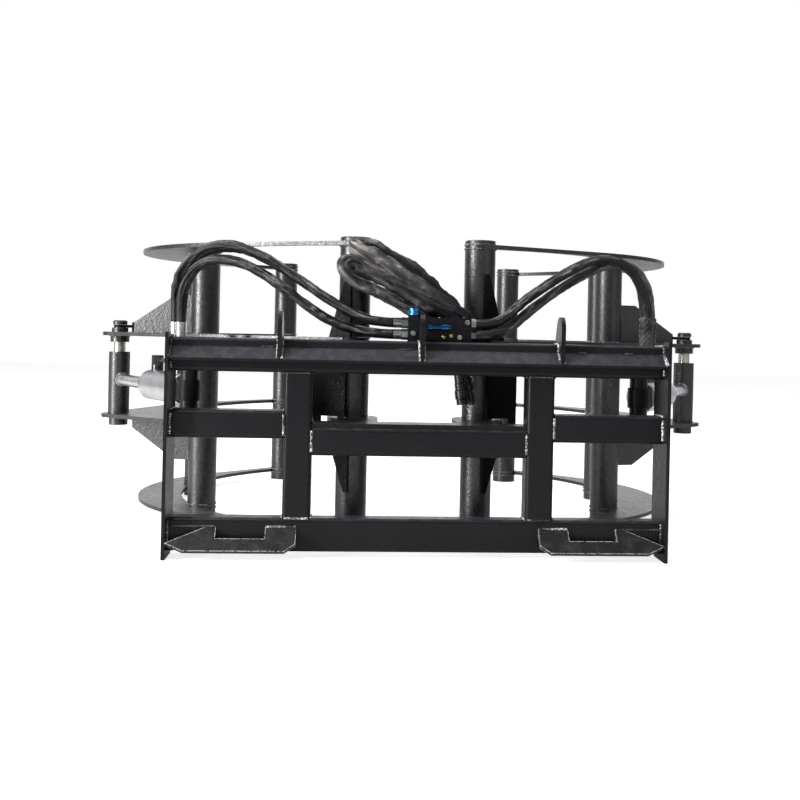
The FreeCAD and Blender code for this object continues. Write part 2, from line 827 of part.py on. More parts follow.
def make_gussets(name, side):
    """Triangles and a web on the pivot tube's rear, along the outer edge, and gussets out to the rod pin."""
    lower_top = size("lower_plate_height") + size("arm_plate")
    lower_bottom = size("lower_plate_height")
    upper_top = size("upper_plate_height") + size("arm_plate")
    upper_bottom = size("upper_plate_height")

    tube = (*PIVOT, NOTCH_RADIUS)
    touch, outer_start = common_tangent(tube, OUTER_ARC, 1)
    edge_angle = math.atan2(outer_start[1] - touch[1], outer_start[0] - touch[0])
    start = -size("pivot_gusset_start")
    base = size("pivot_gusset_base")
    margin = size("web_margin")
    clear = size("web_clear_length")
    web_top = size("upper_pivot_bottom") - size("bush_flange") - margin
    web_bottom = RAIL_TOP + size("pivot_plate") + margin
    end = size("web_length")
    high_end = upper_top + size("pivot_gusset_height")
    low_end = lower_bottom - size("pivot_gusset_drop")
    high = [(start, upper_top), (base, upper_top), (0, high_end), (start, high_end)]
    low = [(start, lower_bottom), (base, lower_bottom), (0, low_end), (start, low_end)]
    web = [
        (0, web_bottom),
        (clear, web_bottom),
        (clear, lower_top),
        (end, lower_top),
        (end, upper_bottom),
        (clear, upper_bottom),
        (clear, web_top),
        (0, web_top),
    ]
    gussets = []
    for piece, outline in (("high", high), ("low", low), ("web", web)):
        outline = [(u, height(z)) for u, z in outline]
        gussets.append(upright_plate(f"gusset_{piece}_{name}", side, outline, touch, edge_angle, False))

    to_pin = math.atan2(ROD_PIN[1] - REAR_TUBE[1], ROD_PIN[0] - REAR_TUBE[0])
    root = NOTCH_RADIUS
    flat = size("ear_gusset_flat")
    end = size("ear_gusset_end")
    tail = size("ear_gusset_tail")
    for piece, face, rise in (
        ("ear_high", upper_top, size("ear_gusset_height")),
        ("ear_low", lower_bottom, -size("ear_gusset_drop")),
    ):
        foot_rise = math.copysign(tail, rise)
        outline = [(root, face), (end, face), (end, face + foot_rise), (flat, face + rise), (root, face + rise)]
        outline = [(u, height(z)) for u, z in outline]
        gussets.append(upright_plate(f"gusset_{piece}_{name}", side, outline, REAR_TUBE, to_pin, True))
    group(f"gussets_{name}", gussets)


def make_thrust_rings(name, side):
    """Rings on the arm that carry its weight and thrust on the pivot plates."""
    place = (f"{side} * pivot_offset", "pivot_depth")
    bore = "tube_diameter / 2 + weld_gap"
    lower_foot = "lower_plate_height + arm_plate"
    lower_top = "center_rail_bottom + rail_section - bush_flange - thrust_gap"
    lower_rise = f"{lower_top} - ({lower_foot})"
    lower = ring(
        f"thrust_lower_{name}", "thrust_ring_radius", bore, lower_rise, *place, height_formula(lower_foot)
    )
    upper_foot = "upper_pivot_bottom + pivot_plate + thrust_gap"
    upper_rise = f"upper_plate_height - ({upper_foot})"
    upper = ring(
        f"thrust_upper_{name}", "thrust_ring_radius", bore, upper_rise, *place, height_formula(upper_foot)
    )
    group(f"thrust_rings_{name}", [lower, upper])


def make_rod_pin(name, side):
    """The pin that joins the cylinder's rod to the arm, with its bosses, washers and keeper."""
    place = (f"{side} * rod_pin_x", "rod_pin_y")
    bore = "pin_diameter / 2 + pin_play"
    bosses = [
        ring(f"boss_upper_{name}", "boss_diameter / 2", bore, "boss_height", *place,
             height_formula("upper_plate_height - boss_height")),
        ring(f"boss_lower_{name}", "boss_diameter / 2", bore, "lower_boss_height", *place,
             height_formula("lower_plate_height - lower_boss_height")),
        ring(f"washer_upper_{name}", "cross_tube_diameter / 2", bore, "pin_washer", *place,
             height_formula("cross_tube_top + thrust_gap")),
        ring(f"washer_lower_{name}", "cross_tube_diameter / 2", bore, "pin_washer", *place,
             height_formula("lower_plate_height + arm_plate")),
    ]
    group(f"pin_bosses_{name}", bosses)

    pin_foot = "lower_plate_height - lower_boss_height - thrust_gap"
    pin_top = "upper_plate_height + arm_plate + keeper_lift + keeper_plate"
    pin = disc(f"pin_{name}", "pin_diameter / 2", f"{pin_top} - ({pin_foot})", *place, height_formula(pin_foot))
    node(f"rod_pin_{name}", pin)

    half = size("keeper_width") / 2
    length = size("keeper_length")
    outline = [(half, length), (-half, length, 0, length + half), (-half, 0), (half, 0, 0, -half)]
    keeper = plate(f"keeper_plate_{name}", "XY_Plane", outline, "keeper_plate", [(0, 0, PIN_HOLE)])
    upper_top = size("upper_plate_height") + size("arm_plate")
    lift = size("keeper_lift")
    place = Vector(side * ROD_PIN[0], ROD_PIN[1], height(upper_top + lift))
    turn = FreeCAD.Rotation(UP, side * size("keeper_angle"))
    keeper.Placement = FreeCAD.Placement(place, turn)
    bolt_place = turn.multVec(Vector(0, length, 0)) + Vector(side * ROD_PIN[0], ROD_PIN[1], height(upper_top))
    sleeve = round_bar(f"keeper_sleeve_{name}", "keeper_bolt", lift, bolt_place, UP)
    head_place = bolt_place + Vector(0, 0, lift + size("keeper_plate"))
    head = hex_bar(f"keeper_bolt_{name}", "keeper_bolt", size("keeper_plate"), head_place, UP)
    group(f"pin_keeper_{name}", [keeper, sleeve, head])


# Cylinders

BASE_PIN = (size("base_pin_x"), size("base_pin_y"))
PIN_SPAN = math.dist(BASE_PIN, ROD_PIN)
BARREL_RADIUS = size("barrel_diameter") / 2
BORE_RADIUS = BARREL_RADIUS - size("barrel_wall")
ROD_RADIUS = size("rod_diameter") / 2


def cylinder_frame(side):
    """The cylinder's own frame: +X from the base pin to the rod pin, on its axis."""
    angle = math.atan2(ROD_PIN[1] - BASE_PIN[1], side * (ROD_PIN[0] - BASE_PIN[0]))
    base = Vector(side * BASE_PIN[0], BASE_PIN[1], height(size("cylinder_height")))
    return FreeCAD.Placement(base, FreeCAD.Rotation(UP, math.degrees(angle)))


def make_cylinder(name, side):
    frame = cylinder_frame(side)
    half = size("tang_width") / 2
    start = size("barrel_start")
    cap_end = start + size("base_cap")
    outline = [(0, -half, -half, 0), (start, -half), (start, half), (0, half)]
    tang = plate(f"tang_{name}", "XY_Plane", outline, "tang_height", [(0, 0, PIN_HOLE)], symmetric=True)
    tang.Placement = frame
    chamfer = size("barrel_wall") / 2
    cap_profile = [
        (start, 0),
        (start, BARREL_RADIUS - chamfer),
        (start + chamfer, BARREL_RADIUS),
        (cap_end, BARREL_RADIUS),
        (cap_end, 0),
    ]
    cap = turned(f"base_cap_{name}", cap_profile, frame)
    node(f"cylinder_base_{name}", fuse(f"cylinder_base_{name}", [tang, cap]))

    end = size("barrel_end")
    barrel_profile = [
        (cap_end, BORE_RADIUS),
        (cap_end, BARREL_RADIUS),
        (end, BARREL_RADIUS),
        (end, BORE_RADIUS),
    ]
    node(f"barrel_{name}", turned(f"barrel_{name}", barrel_profile, frame))

    play = size("seal_play")
    collar_end = end + size("gland_collar")
    nose = collar_end + size("gland_nose")
    gland_inside = end - size("gland_length")
    gland_profile = [
        (gland_inside, ROD_RADIUS + play),
        (gland_inside, BORE_RADIUS - play),
        (end, BORE_RADIUS - play),
        (end, BARREL_RADIUS),
        (collar_end - chamfer, BARREL_RADIUS),
        (collar_end, BARREL_RADIUS - chamfer),
        (nose, size("gland_neck_diameter") / 2),
        (nose, ROD_RADIUS + play),
    ]
    node(f"gland_{name}", turned(f"gland_{name}", gland_profile, frame))

    rod_start = size("rod_start")
    piston_end = rod_start + size("piston_length")
    rod_profile = [
        (rod_start, 0),
        (rod_start, BORE_RADIUS - play),
        (piston_end, BORE_RADIUS - play),
        (piston_end, ROD_RADIUS),
        (PIN_SPAN, ROD_RADIUS),
        (PIN_SPAN, 0),
    ]
    rod = turned(f"rod_{name}", rod_profile, frame)
    cross_place = (f"{side} * rod_pin_x", "rod_pin_y", height_formula("cross_tube_bottom"))
    cross_rise = "cross_tube_top - cross_tube_bottom"
    saddle = disc(f"saddle_{name}", "cross_tube_diameter / 2", cross_rise, *cross_place)
    node(f"piston_rod_{name}", cut(f"piston_rod_{name}", rod, saddle))
    cross_bore = "cross_tube_diameter / 2 - cross_tube_wall"
    node(f"cross_tube_{name}",
         ring(f"cross_tube_{name}", "cross_tube_diameter / 2", cross_bore, cross_rise, *cross_place))
    make_port_fittings(name, side, frame)


def make_port_fittings(name, side, frame):
    """Bosses on the barrel, the fittings the hoses end in and the hard line to the gland port."""
    along = frame.Rotation.multVec(Vector(1, 0, 0))
    barrel_start = frame.multVec(Vector(0, 0, 0))
    boss_top = size("cylinder_height") + BARREL_RADIUS + size("port_boss_height")
    nut_top = boss_top + size("nut_length")
    pieces = []
    for port in ("base_port", "far_port", "gland_port"):
        foot = frame.multVec(Vector(size(port), 0, 0))
        rise = boss_top - size("cylinder_height")
        boss = round_bar(f"{port}_blank_{name}", "port_boss_diameter / 2", rise, foot, UP)
        inside = round_bar(f"{port}_barrel_{name}", "barrel_diameter / 2", PIN_SPAN, barrel_start, along)
        pieces.append(cut(f"{port}_boss_{name}", boss, inside))
        nut_place = foot + Vector(0, 0, rise)
        pieces.append(hex_bar(f"{port}_nut_{name}", "nut_diameter / 2", size("nut_length"), nut_place, UP))
        if port != "gland_port":
            place = Vector(foot.x, foot.y, height(nut_top))
            length = size("hose_end_height") - nut_top
            pieces.append(round_bar(f"{port}_ferrule_{name}", "ferrule_diameter / 2", length, place, UP))
    line_start = size("far_port") + size("nut_diameter") / 2
    line_end = size("gland_port") - size("nut_diameter") / 2
    line_height = height(boss_top + size("nut_length") / 2)
    start = frame.multVec(Vector(line_start, 0, 0))
    start.z = line_height
    pieces.append(round_bar(f"hard_line_{name}", "hard_line_diameter / 2", line_end - line_start, start, along))
    group(f"port_fittings_{name}", pieces)


def make_cylinder_brackets():
    """Lugs on the beam and the outer rails, with the base pins and their spacers."""
    half = size("base_lug_width") / 2
    round_end = (*BASE_PIN, size("base_lug_radius"))
    lugs = []
    pins = []
    spacers = []
    for name, side in SIDES:
        for level, depth, z in (
            ("upper", size("beam_section"), "upper_lug_bottom"),
            ("lower", size("rail_section"), "lower_lug_bottom"),
        ):
            right_foot = (BASE_PIN[0] + half, depth)
            left_foot = (BASE_PIN[0] - half, depth)
            right_touch = common_tangent((*right_foot, 0), round_end, 1)[1]
            left_touch = common_tangent(round_end, (*left_foot, 0), 1)[0]
            crown = (BASE_PIN[0], BASE_PIN[1] + round_end[2])
            outline = [left_foot, right_foot, right_touch, (*left_touch, *crown)]
            hole = (side * BASE_PIN[0], BASE_PIN[1], PIN_HOLE)
            lug = plate(f"base_lug_{level}_{name}", "XY_Plane", flipped(outline, side), "lug_plate", [hole])
            tie_place(lug, z=height_formula(z))
            lugs.append(lug)
        place = (f"{side} * base_pin_x", "base_pin_y")
        pin_rise = "upper_lug_bottom + lug_plate + 2 * pin_overhang - lower_lug_bottom"
        pins.append(disc(f"base_pin_{name}", "pin_diameter / 2", pin_rise, *place,
                         height_formula("lower_lug_bottom - pin_overhang")))
        bore = "pin_diameter / 2 + pin_play"
        lower_rise = "cylinder_height - tang_height / 2 - thrust_gap - lower_lug_bottom - lug_plate"
        spacers.append(ring(f"spacer_lower_{name}", "spacer_diameter / 2", bore, lower_rise, *place,
                            height_formula("lower_lug_bottom + lug_plate")))
        upper_foot = "cylinder_height + tang_height / 2 + thrust_gap"
        upper_rise = "upper_lug_bottom - cylinder_height - tang_height / 2 - thrust_gap"
        spacers.append(ring(f"spacer_upper_{name}", "spacer_diameter / 2", bore, upper_rise, *place,
                            height_formula(upper_foot)))
    group("cylinder_lugs", lugs)
    group("base_pins", pins)
    group("pin_spacers", spacers)


# Hydraulics: the manifold on the beam, the cylinders' hoses and the folded feed hoses

# Turns of the cylinders' hoses on their way to the manifold: (x, y, height above the floor).
HOSE_TURNS = {
    "hose_left_far": [
        (-580, 205, 644),
        (-545, 186, 690),
        (-494, 166, 713),
        (-438, 148, 714),
        (-384, 134, 694),
        (-326, 120, 661),
        (-264, 105, 621),
        (-198, 87, 577),
    ],
    "hose_left_base": [
        (-558, 174, 634),
        (-526, 161, 670),
        (-482, 148, 683),
        (-434, 136, 677),
        (-384, 124, 654),
        (-330, 112, 620),
        (-272, 98, 577),
        (-206, 84, 534),
    ],
    "hose_right_base": [
        (552, 168, 646),
        (519, 152, 684),
        (474, 136, 703),
        (424, 124, 702),
        (368, 111, 677),
        (307, 98, 639),
        (248, 86, 598),
    ],
    "hose_right_far": [
        (577, 200, 642),
        (545, 184, 680),
        (499, 171, 699),
        (447, 158, 689),
        (390, 144, 659),
        (329, 130, 621),
        (266, 112, 574),
    ],
}
FEED_HOSES = {
    "feed_hose_upper": [
        (82, 62, 572),
        (47, 60, 589),
        (6, 60, 611),
        (-36, 62, 638),
        (-79, 62, 664),
        (-117, 62, 685),
        (-146, 62, 702),
        (-163, 88, 716),
        (-140, 116, 722),
        (-88, 114, 700),
        (-40, 118, 672),
        (3, 126, 641),
        (40, 133, 610),
        (74, 138, 582),
        (97, 140, 552),
        (97, 140, 516),
        (93, 138, 482),
        (108, 136, 448),
        (116, 134, 415),
    ],
    "feed_hose_lower": [
        (50, 104, 536),
        (10, 103, 556),
        (-40, 100, 582),
        (-86, 88, 604),
        (-127, 74, 620),
        (-165, 66, 637),
        (-187, 86, 666),
        (-168, 110, 686),
        (-125, 115, 667),
        (-77, 112, 642),
        (-29, 108, 617),
        (17, 106, 594),
        (60, 106, 573),
        (98, 107, 547),
        (103, 107, 512),
        (96, 106, 480),
        (94, 105, 449),
        (98, 104, 418),
    ],
}
ARC_SHARE = 0.45


def route_point(place):
    x, y, above_floor = place
    return Vector(x, y, height(above_floor))


def hose_route(label, side, port, manifold_port):
    """Straight up from the cylinder's port, through the turns and straight into the manifold."""
    foot = cylinder_frame(side).multVec(Vector(size(port), 0, 0))
    start = size("hose_end_height")
    run = size("hose_end_run")
    if side > 0:
        face = size("manifold_right") + size("manifold_bare_nut_length")
    else:
        face = size("manifold_left") + size("manifold_nut_length") + size("manifold_ferrule_length")
    depth = size("manifold_port_depth")
    end = size(manifold_port)
    return [
        (foot.x, foot.y, start),
        (foot.x, foot.y, start + run),
        *HOSE_TURNS[label],
        (side * (face + run), depth, end),
        (side * face, depth, end),
    ]


def cord(label, route, diameter):
    """A hose: straight runs joined by tangent arcs as large as the runs allow. Prints its radii and length."""
    points = [route_point(place) for place in route]
    edges = []
    radii = []
    last = points[0]
    for before, corner, after in zip(points, points[1:], points[2:]):
        back = (before - corner).normalize()
        onward = (after - corner).normalize()
        shorter = min((before - corner).Length, (after - corner).Length)
        half_turn = (math.pi - back.getAngle(onward)) / 2
        tangent = ARC_SHARE * shorter
        radius = tangent / math.tan(half_turn)
        radii.append(radius)
        inward = (back + onward).normalize()
        middle = corner + inward * (math.hypot(radius, tangent) - radius)
        arc_start = corner + back * tangent
        arc_end = corner + onward * tangent
        edges.append(Part.LineSegment(last, arc_start).toShape())
        edges.append(Part.Arc(arc_start, middle, arc_end).toShape())
        last = arc_end
    edges.append(Part.LineSegment(last, points[-1]).toShape())
    path = Part.Wire(edges)
    section = Part.Wire([Part.Circle(points[0], points[1] - points[0], diameter / 2).toShape()])
    solid = path.makePipeShell([section], True, False)
    expected = path.Length * math.pi * diameter**2 / 4
    print(
        f"{label}: length {path.Length:.0f}, smallest radius {min(radii):.0f},",
        f"volume {solid.Volume / expected:.4f} of section times length",
    )
    thing = doc.addObject("Part::Feature", label)
    thing.Shape = solid
    return thing


def make_feed_fittings():
    """Elbows on the manifold that the feed hoses start from."""
    radius = "feed_fitting_diameter / 2"
    fittings = []
    for name in ("upper", "lower"):
        start, following = (route_point(place) for place in FEED_HOSES[f"feed_hose_{name}"][:2])
        onward = (following - start).normalize()
        elbow = start - onward * size("feed_ferrule_length")
        stub_foot = Vector(elbow)
        if name == "upper":
            stub_foot.z = height(BEAM_TOP + size("manifold_height"))
        else:
            stub_foot.y = size("manifold_front")
        knee = doc.addObject("Part::Sphere", f"feed_knee_{name}")
        tie(knee, "Radius", radius)
        knee.Placement.Base = elbow
        stub = round_bar(f"feed_stub_{name}", radius, (elbow - stub_foot).Length, stub_foot, elbow - stub_foot)
        ferrule = round_bar(f"feed_ferrule_{name}", radius, size("feed_ferrule_length"), elbow, onward)
        fittings.append(fuse(f"feed_fitting_{name}", [stub, knee, ferrule]))
    return fittings


def make_manifold():
    """The valve block that feeds both cylinders from one pair of hoses."""
    length = "manifold_left + manifold_right"
    width = "manifold_front - manifold_rear"
    block_foot = height_formula("beam_bottom + beam_section + manifold_plate")
    block = box("manifold_block", length, width, "manifold_height - manifold_plate",
                "0 - manifold_left", "manifold_rear", block_foot)
    foot = box("manifold_foot", length, "beam_section - manifold_rear", "manifold_plate",
               "0 - manifold_left", "manifold_rear", height_formula("beam_bottom + beam_section"))
    top = height(BEAM_TOP + size("manifold_height"))
    depth = (size("manifold_rear") + size("manifold_front")) / 2
    valve_foot = Vector(-size("valve_offset"), depth, top)
    valve = hex_bar("manifold_valve", "valve_diameter / 2", size("valve_height"), valve_foot, UP)
    group("manifold", [fuse("manifold_body", [block, foot]), valve, *make_feed_fittings()])


def make_hose_ends():
    """Nuts and ferrules between the manifold and the cylinders' hoses."""
    ends = []
    nut_length = size("manifold_nut_length")
    ferrule_length = size("manifold_ferrule_length")
    depth = size("manifold_port_depth")
    for side, face, ferrule in ((-1, size("manifold_left"), ferrule_length), (1, size("manifold_right"), 0)):
        direction = Vector(side, 0, 0)
        for port in ("manifold_low_port", "manifold_high_port"):
            place = Vector(side * face, depth, height(size(port)))
            name = f"{port}_{'right' if side > 0 else 'left'}"
            length = nut_length if ferrule else size("manifold_bare_nut_length")
            ends.append(hex_bar(f"{name}_nut", "ferrule_diameter / 2", length, place, direction))
            if ferrule:
                place = place + direction * length
                ends.append(round_bar(f"{name}_ferrule", "hose_diameter / 2", ferrule, place, direction))
    return ends


def make_couplers():
    """Quick couplers on the free ends of the feed hoses: a socket with its sleeve and a plug with its nose."""
    step = size("coupler_step")
    sleeve = size("coupler_diameter") / 2
    body = sleeve - step
    neck = size("feed_hose_diameter") / 2 + step
    nose = size("coupler_nose_diameter") / 2
    length = size("coupler_length")
    neck_end = 0.26 * length
    sleeve_start = 0.5 * length
    sleeve_end = 0.8 * length
    socket = [
        (0, 0),
        (0, neck),
        (neck_end, neck),
        (neck_end + step, body),
        (sleeve_start, body),
        (sleeve_start + step, sleeve),
        (sleeve_end, sleeve),
        (sleeve_end + step, body),
        (length, body),
        (length, 0),
    ]
    plug = [
        (0, 0),
        (0, neck),
        (neck_end, neck),
        (neck_end + step, body),
        (sleeve_start, body),
        (sleeve_start + step, nose),
        (sleeve_end, nose),
        (sleeve_end, nose - step),
        (length - step, nose - step),
        (length, nose - 2 * step),
        (length, 0),
    ]
    couplers = []
    for name, profile in (("feed_hose_lower", socket), ("feed_hose_upper", plug)):
        before, end = (route_point(place) for place in FEED_HOSES[name][-2:])
        place = FreeCAD.Placement(end, FreeCAD.Rotation(Vector(1, 0, 0), end - before))
        couplers.append(turned(f"coupler_{name}", profile, place))
    group("feed_couplers", couplers)


def make_hoses():
    for label, side, port, manifold_port in (
        ("hose_left_far", -1, "far_port", "manifold_high_port"),
        ("hose_left_base", -1, "base_port", "manifold_low_port"),
        ("hose_right_base", 1, "base_port", "manifold_high_port"),
        ("hose_right_far", 1, "far_port", "manifold_low_port"),
    ):
        node(label, cord(label, hose_route(label, side, port, manifold_port), size("hose_diameter")))
    for label, route in FEED_HOSES.items():
        node(label, cord(label, route, size("feed_hose_diameter")))


make_beam()
make_hook_lip()
make_lip_ribs()
make_end_plates()
make_rails()
make_lock_plates()
make_pivot_plates()
make_bushes()
make_cylinder_brackets()
for side_name, side_sign in SIDES:
    make_arm_tubes(side_name, side_sign)
    make_arm_plates(side_name, side_sign)
    make_gussets(side_name, side_sign)
    make_thrust_rings(side_name, side_sign)
    make_rod_pin(side_name, side_sign)
    make_cylinder(side_name, side_sign)
make_manifold()
group("manifold_fittings", make_hose_ends())
make_couplers()
make_hoses()
doc.recompute()

failed = [thing.Label for thing in doc.Objects if {"Invalid", "Error"} & set(thing.State)]
if failed:
    raise RuntimeError(f"these objects failed: {failed}")
for thing in nodes:
    if thing.Shape.isNull() or not thing.Shape.isValid():
        raise RuntimeError(f"{thing.Label} has no valid shape")

os.makedirs("parts", exist_ok=True)
for thing in nodes:
    thing.Shape.exportStep(f"parts/{thing.Label}.step")
print(f"{len(nodes)} sub-parts written")
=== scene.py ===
"""The looks of a skid steer bale clamp: sleeved hoses, weld beads, plated fittings, black paint.

Metres, in the frame of the solids. +X is the loader driver's right, +Y points forward to the
bale, +Z up.
"""

import bmesh
import bpy
import json
import math
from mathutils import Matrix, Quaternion, Vector, noise
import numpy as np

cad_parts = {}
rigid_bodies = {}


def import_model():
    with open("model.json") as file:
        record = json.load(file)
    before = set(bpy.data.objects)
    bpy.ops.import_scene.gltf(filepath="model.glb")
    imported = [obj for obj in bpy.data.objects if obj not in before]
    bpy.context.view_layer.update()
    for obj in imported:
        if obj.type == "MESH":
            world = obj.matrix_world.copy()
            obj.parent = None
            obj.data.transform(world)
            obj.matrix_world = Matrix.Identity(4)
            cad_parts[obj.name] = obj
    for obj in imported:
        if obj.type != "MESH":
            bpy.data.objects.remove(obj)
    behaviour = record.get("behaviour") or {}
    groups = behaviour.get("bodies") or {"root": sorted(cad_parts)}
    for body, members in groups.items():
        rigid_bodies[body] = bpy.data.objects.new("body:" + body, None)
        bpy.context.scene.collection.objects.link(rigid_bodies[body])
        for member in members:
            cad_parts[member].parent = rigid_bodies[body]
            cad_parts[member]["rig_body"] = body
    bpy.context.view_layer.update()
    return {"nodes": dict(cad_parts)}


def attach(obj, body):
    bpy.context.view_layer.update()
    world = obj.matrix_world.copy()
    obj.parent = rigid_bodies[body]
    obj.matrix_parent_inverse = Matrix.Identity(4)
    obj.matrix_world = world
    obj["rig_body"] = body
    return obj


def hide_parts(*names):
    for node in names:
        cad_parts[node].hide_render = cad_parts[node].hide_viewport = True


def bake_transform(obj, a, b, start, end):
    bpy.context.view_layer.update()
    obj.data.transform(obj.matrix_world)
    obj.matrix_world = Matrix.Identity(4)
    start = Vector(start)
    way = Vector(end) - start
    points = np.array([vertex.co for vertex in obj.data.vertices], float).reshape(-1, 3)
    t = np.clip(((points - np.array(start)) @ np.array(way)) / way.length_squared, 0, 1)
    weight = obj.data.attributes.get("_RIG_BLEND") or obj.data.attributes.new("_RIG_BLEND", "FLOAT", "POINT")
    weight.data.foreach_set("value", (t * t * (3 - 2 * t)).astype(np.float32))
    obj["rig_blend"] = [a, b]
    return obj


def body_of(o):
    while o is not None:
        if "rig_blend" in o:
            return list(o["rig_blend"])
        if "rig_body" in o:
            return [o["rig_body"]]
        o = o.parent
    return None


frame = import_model()

# Places on the part. Heights of plates, hoses and beads are given above the floor.

FLOOR = -0.26375
TUBE_RADIUS = 0.0381
TUBE_TOP = 0.7443
PLATE = 0.01
PLATE_HEIGHTS = {"bottom": 0.024, "lower": 0.263, "upper": 0.490, "top": 0.725}
TUBES = {
    "pivot": (0.154, 0.200), "rear": (0.562, 0.530), "front": (0.628, 0.894), "tip": (0.389, 1.270),
}
BASE_PIN = Vector((0.541, 0.130, 0.10425))
ROD_PIN = Vector((0.806, 0.594, 0.10425))
SIDES = (("right", 1), ("left", -1))
UPWARD = (0, 0, 1)
BACKWARD = (0, -1, 0)


def above_floor(x, y, z):
    """A point whose height is given above the floor."""
    return Vector((x, y, z + FLOOR))


def mirrored(point, side):
    """A point of the right side, or its mirror image on the left side, -1."""
    return Vector((side * point.x, point.y, point.z))


def cylinder_axis(side):
    """The direction from a cylinder's base pin to its rod pin."""
    return Vector((side * (ROD_PIN.x - BASE_PIN.x), ROD_PIN.y - BASE_PIN.y, 0)).normalized()


# Camera, matched to the photograph

PICTURE_PX = 800
FOCAL_PX = 1026
CENTER_PX = (420.5, 333)
SENSOR = 36
HEADING = math.radians(3.95)
ROLL = math.radians(1.25)

camera_data = bpy.data.cameras.new("camera")
camera = bpy.data.objects.new("camera", camera_data)
bpy.context.scene.collection.objects.link(camera)
camera.location = above_floor(-0.165, -2.330, 0.515)
look = Vector((math.sin(HEADING), math.cos(HEADING), 0)).to_track_quat("-Z", "Y")
camera.rotation_mode = "QUATERNION"
camera.rotation_quaternion = look @ Quaternion(UPWARD, ROLL)
camera_data.sensor_width = SENSOR
camera_data.lens = FOCAL_PX / PICTURE_PX * SENSOR
camera_data.shift_x = (PICTURE_PX / 2 - CENTER_PX[0]) / PICTURE_PX
camera_data.shift_y = (CENTER_PX[1] - PICTURE_PX / 2) / PICTURE_PX
camera_data.clip_start = 0.05
camera_data.clip_end = 100
bpy.context.scene.camera = camera
bpy.context.scene.view_settings.view_transform = "Standard"


# Materials

MIX_SHARE, MIX_FIRST, MIX_SECOND, MIX_RESULT = 0, 6, 7, 2  # sockets of a Mix node set to colours


class Nodes:
    """The node tree of a material or a world, with short ways to add and join nodes."""

    def __init__(self, owner):
        owner.use_nodes = True
        self.owner = owner
        self.tree = owner.node_tree

    def feed(self, socket, value):
        """Links a node's output to a socket, or gives the socket a constant."""
        if isinstance(value, bpy.types.NodeSocket):
            self.tree.links.new(value, socket)
        else:
            socket.default_value = value

    def add(self, kind, **sockets):
        """Adds a node whose inputs are fed by name."""
        node = self.tree.nodes.new(kind)
        for name, value in sockets.items():
            self.feed(node.inputs[name.replace("_", " ")], value)
        return node

    def join(self, kind, *values):
        """Adds a node whose inputs are fed in their order, and gives its output."""
        node = self.tree.nodes.new(kind)
        for socket, value in zip(node.inputs, values):
            self.feed(socket, value)
        return node.outputs[0]

    def place(self):
        """Coordinates that stay with the piece."""
        return self.add("ShaderNodeTexCoord").outputs["Object"]

    def height(self):
        return self.add("ShaderNodeSeparateXYZ", Vector=self.place()).outputs["Z"]

    def sideways(self):
        return self.add("ShaderNodeSeparateXYZ", Vector=self.place()).outputs["X"]

    def stretched(self, scale, place=None):
        return self.add(
            "ShaderNodeMapping", Vector=place or self.place(), Scale=scale
        ).outputs["Vector"]

    def noise(self, scale, detail=3.0, roughness=0.5, place=None):
        return self.add(
            "ShaderNodeTexNoise", Vector=place or self.place(), Scale=scale, Detail=detail,
            Roughness=roughness,
        ).outputs["Fac"]

    def spread(self, value, low, high, to_low=0.0, to_high=1.0):
        """Maps a value's range onto another, clamped."""
        return self.add(
            "ShaderNodeMapRange", Value=value, From_Min=low, From_Max=high, To_Min=to_low,
            To_Max=to_high,
        ).outputs["Result"]

    def math(self, operation, *values):
        node = self.tree.nodes.new("ShaderNodeMath")
        node.operation = operation
        for socket, value in zip(node.inputs, values):
            self.feed(socket, value)
        return node.outputs["Value"]

    def times(self, first, second):
        return self.math("MULTIPLY", first, second)

    def mix(self, share, first, second):
        """The first colour where share is 0, the second where it is 1."""
        node = self.tree.nodes.new("ShaderNodeMix")
        node.data_type = "RGBA"
        self.feed(node.inputs[MIX_SHARE], share)
        for number, value in ((MIX_FIRST, first), (MIX_SECOND, second)):
            self.feed(node.inputs[number], (*value, 1) if isinstance(value, tuple) else value)
        return node.outputs[MIX_RESULT]

    def upward(self, low, high):
        """1 where the surface faces up, 0 where it is upright."""
        normal = self.add("ShaderNodeNewGeometry").outputs["Normal"]
        up = self.add("ShaderNodeSeparateXYZ", Vector=normal).outputs["Z"]
        return self.spread(up, low, high)

    def edges(self, radius, low, high):
        """1 along sharp edges."""
        bevel = self.add("ShaderNodeBevel", Radius=radius)
        bevel.samples = 4
        normal = self.add("ShaderNodeNewGeometry").outputs["Normal"]
        dot = self.tree.nodes.new("ShaderNodeVectorMath")
        dot.operation = "DOT_PRODUCT"
        self.feed(dot.inputs[0], bevel.outputs["Normal"])
        self.feed(dot.inputs[1], normal)
        return self.spread(dot.outputs["Value"], low, high, 1.0, 0.0)

    def surface(self, color, roughness, gloss=0.5, metallic=0.0):
        shader = self.tree.nodes["Principled BSDF"]
        self.feed(shader.inputs["Base Color"], color)
        self.feed(shader.inputs["Roughness"], roughness)
        self.feed(shader.inputs["Specular IOR Level"], gloss)
        self.feed(shader.inputs["Metallic"], metallic)

    def bump(self, value, distance, strength=1.0, normal=None):
        """Bumps the surface by a value, over an earlier bump's normal where one is given."""
        node = self.add("ShaderNodeBump", Height=value, Distance=distance, Strength=strength)
        if normal is not None:
            self.feed(node.inputs["Normal"], normal)
        bumped = node.outputs["Normal"]
        self.feed(self.tree.nodes["Principled BSDF"].inputs["Normal"], bumped)
        return bumped


def scaled(shade, share):
    return tuple(share * part for part in shade)


DUST = (0.20, 0.185, 0.165)
BARE_STEEL = (0.36, 0.36, 0.37)
# The colour of the painted glint along the lock plates' edges.
PAINTED_GLINT_STEEL = (0.75, 0.75, 0.75)


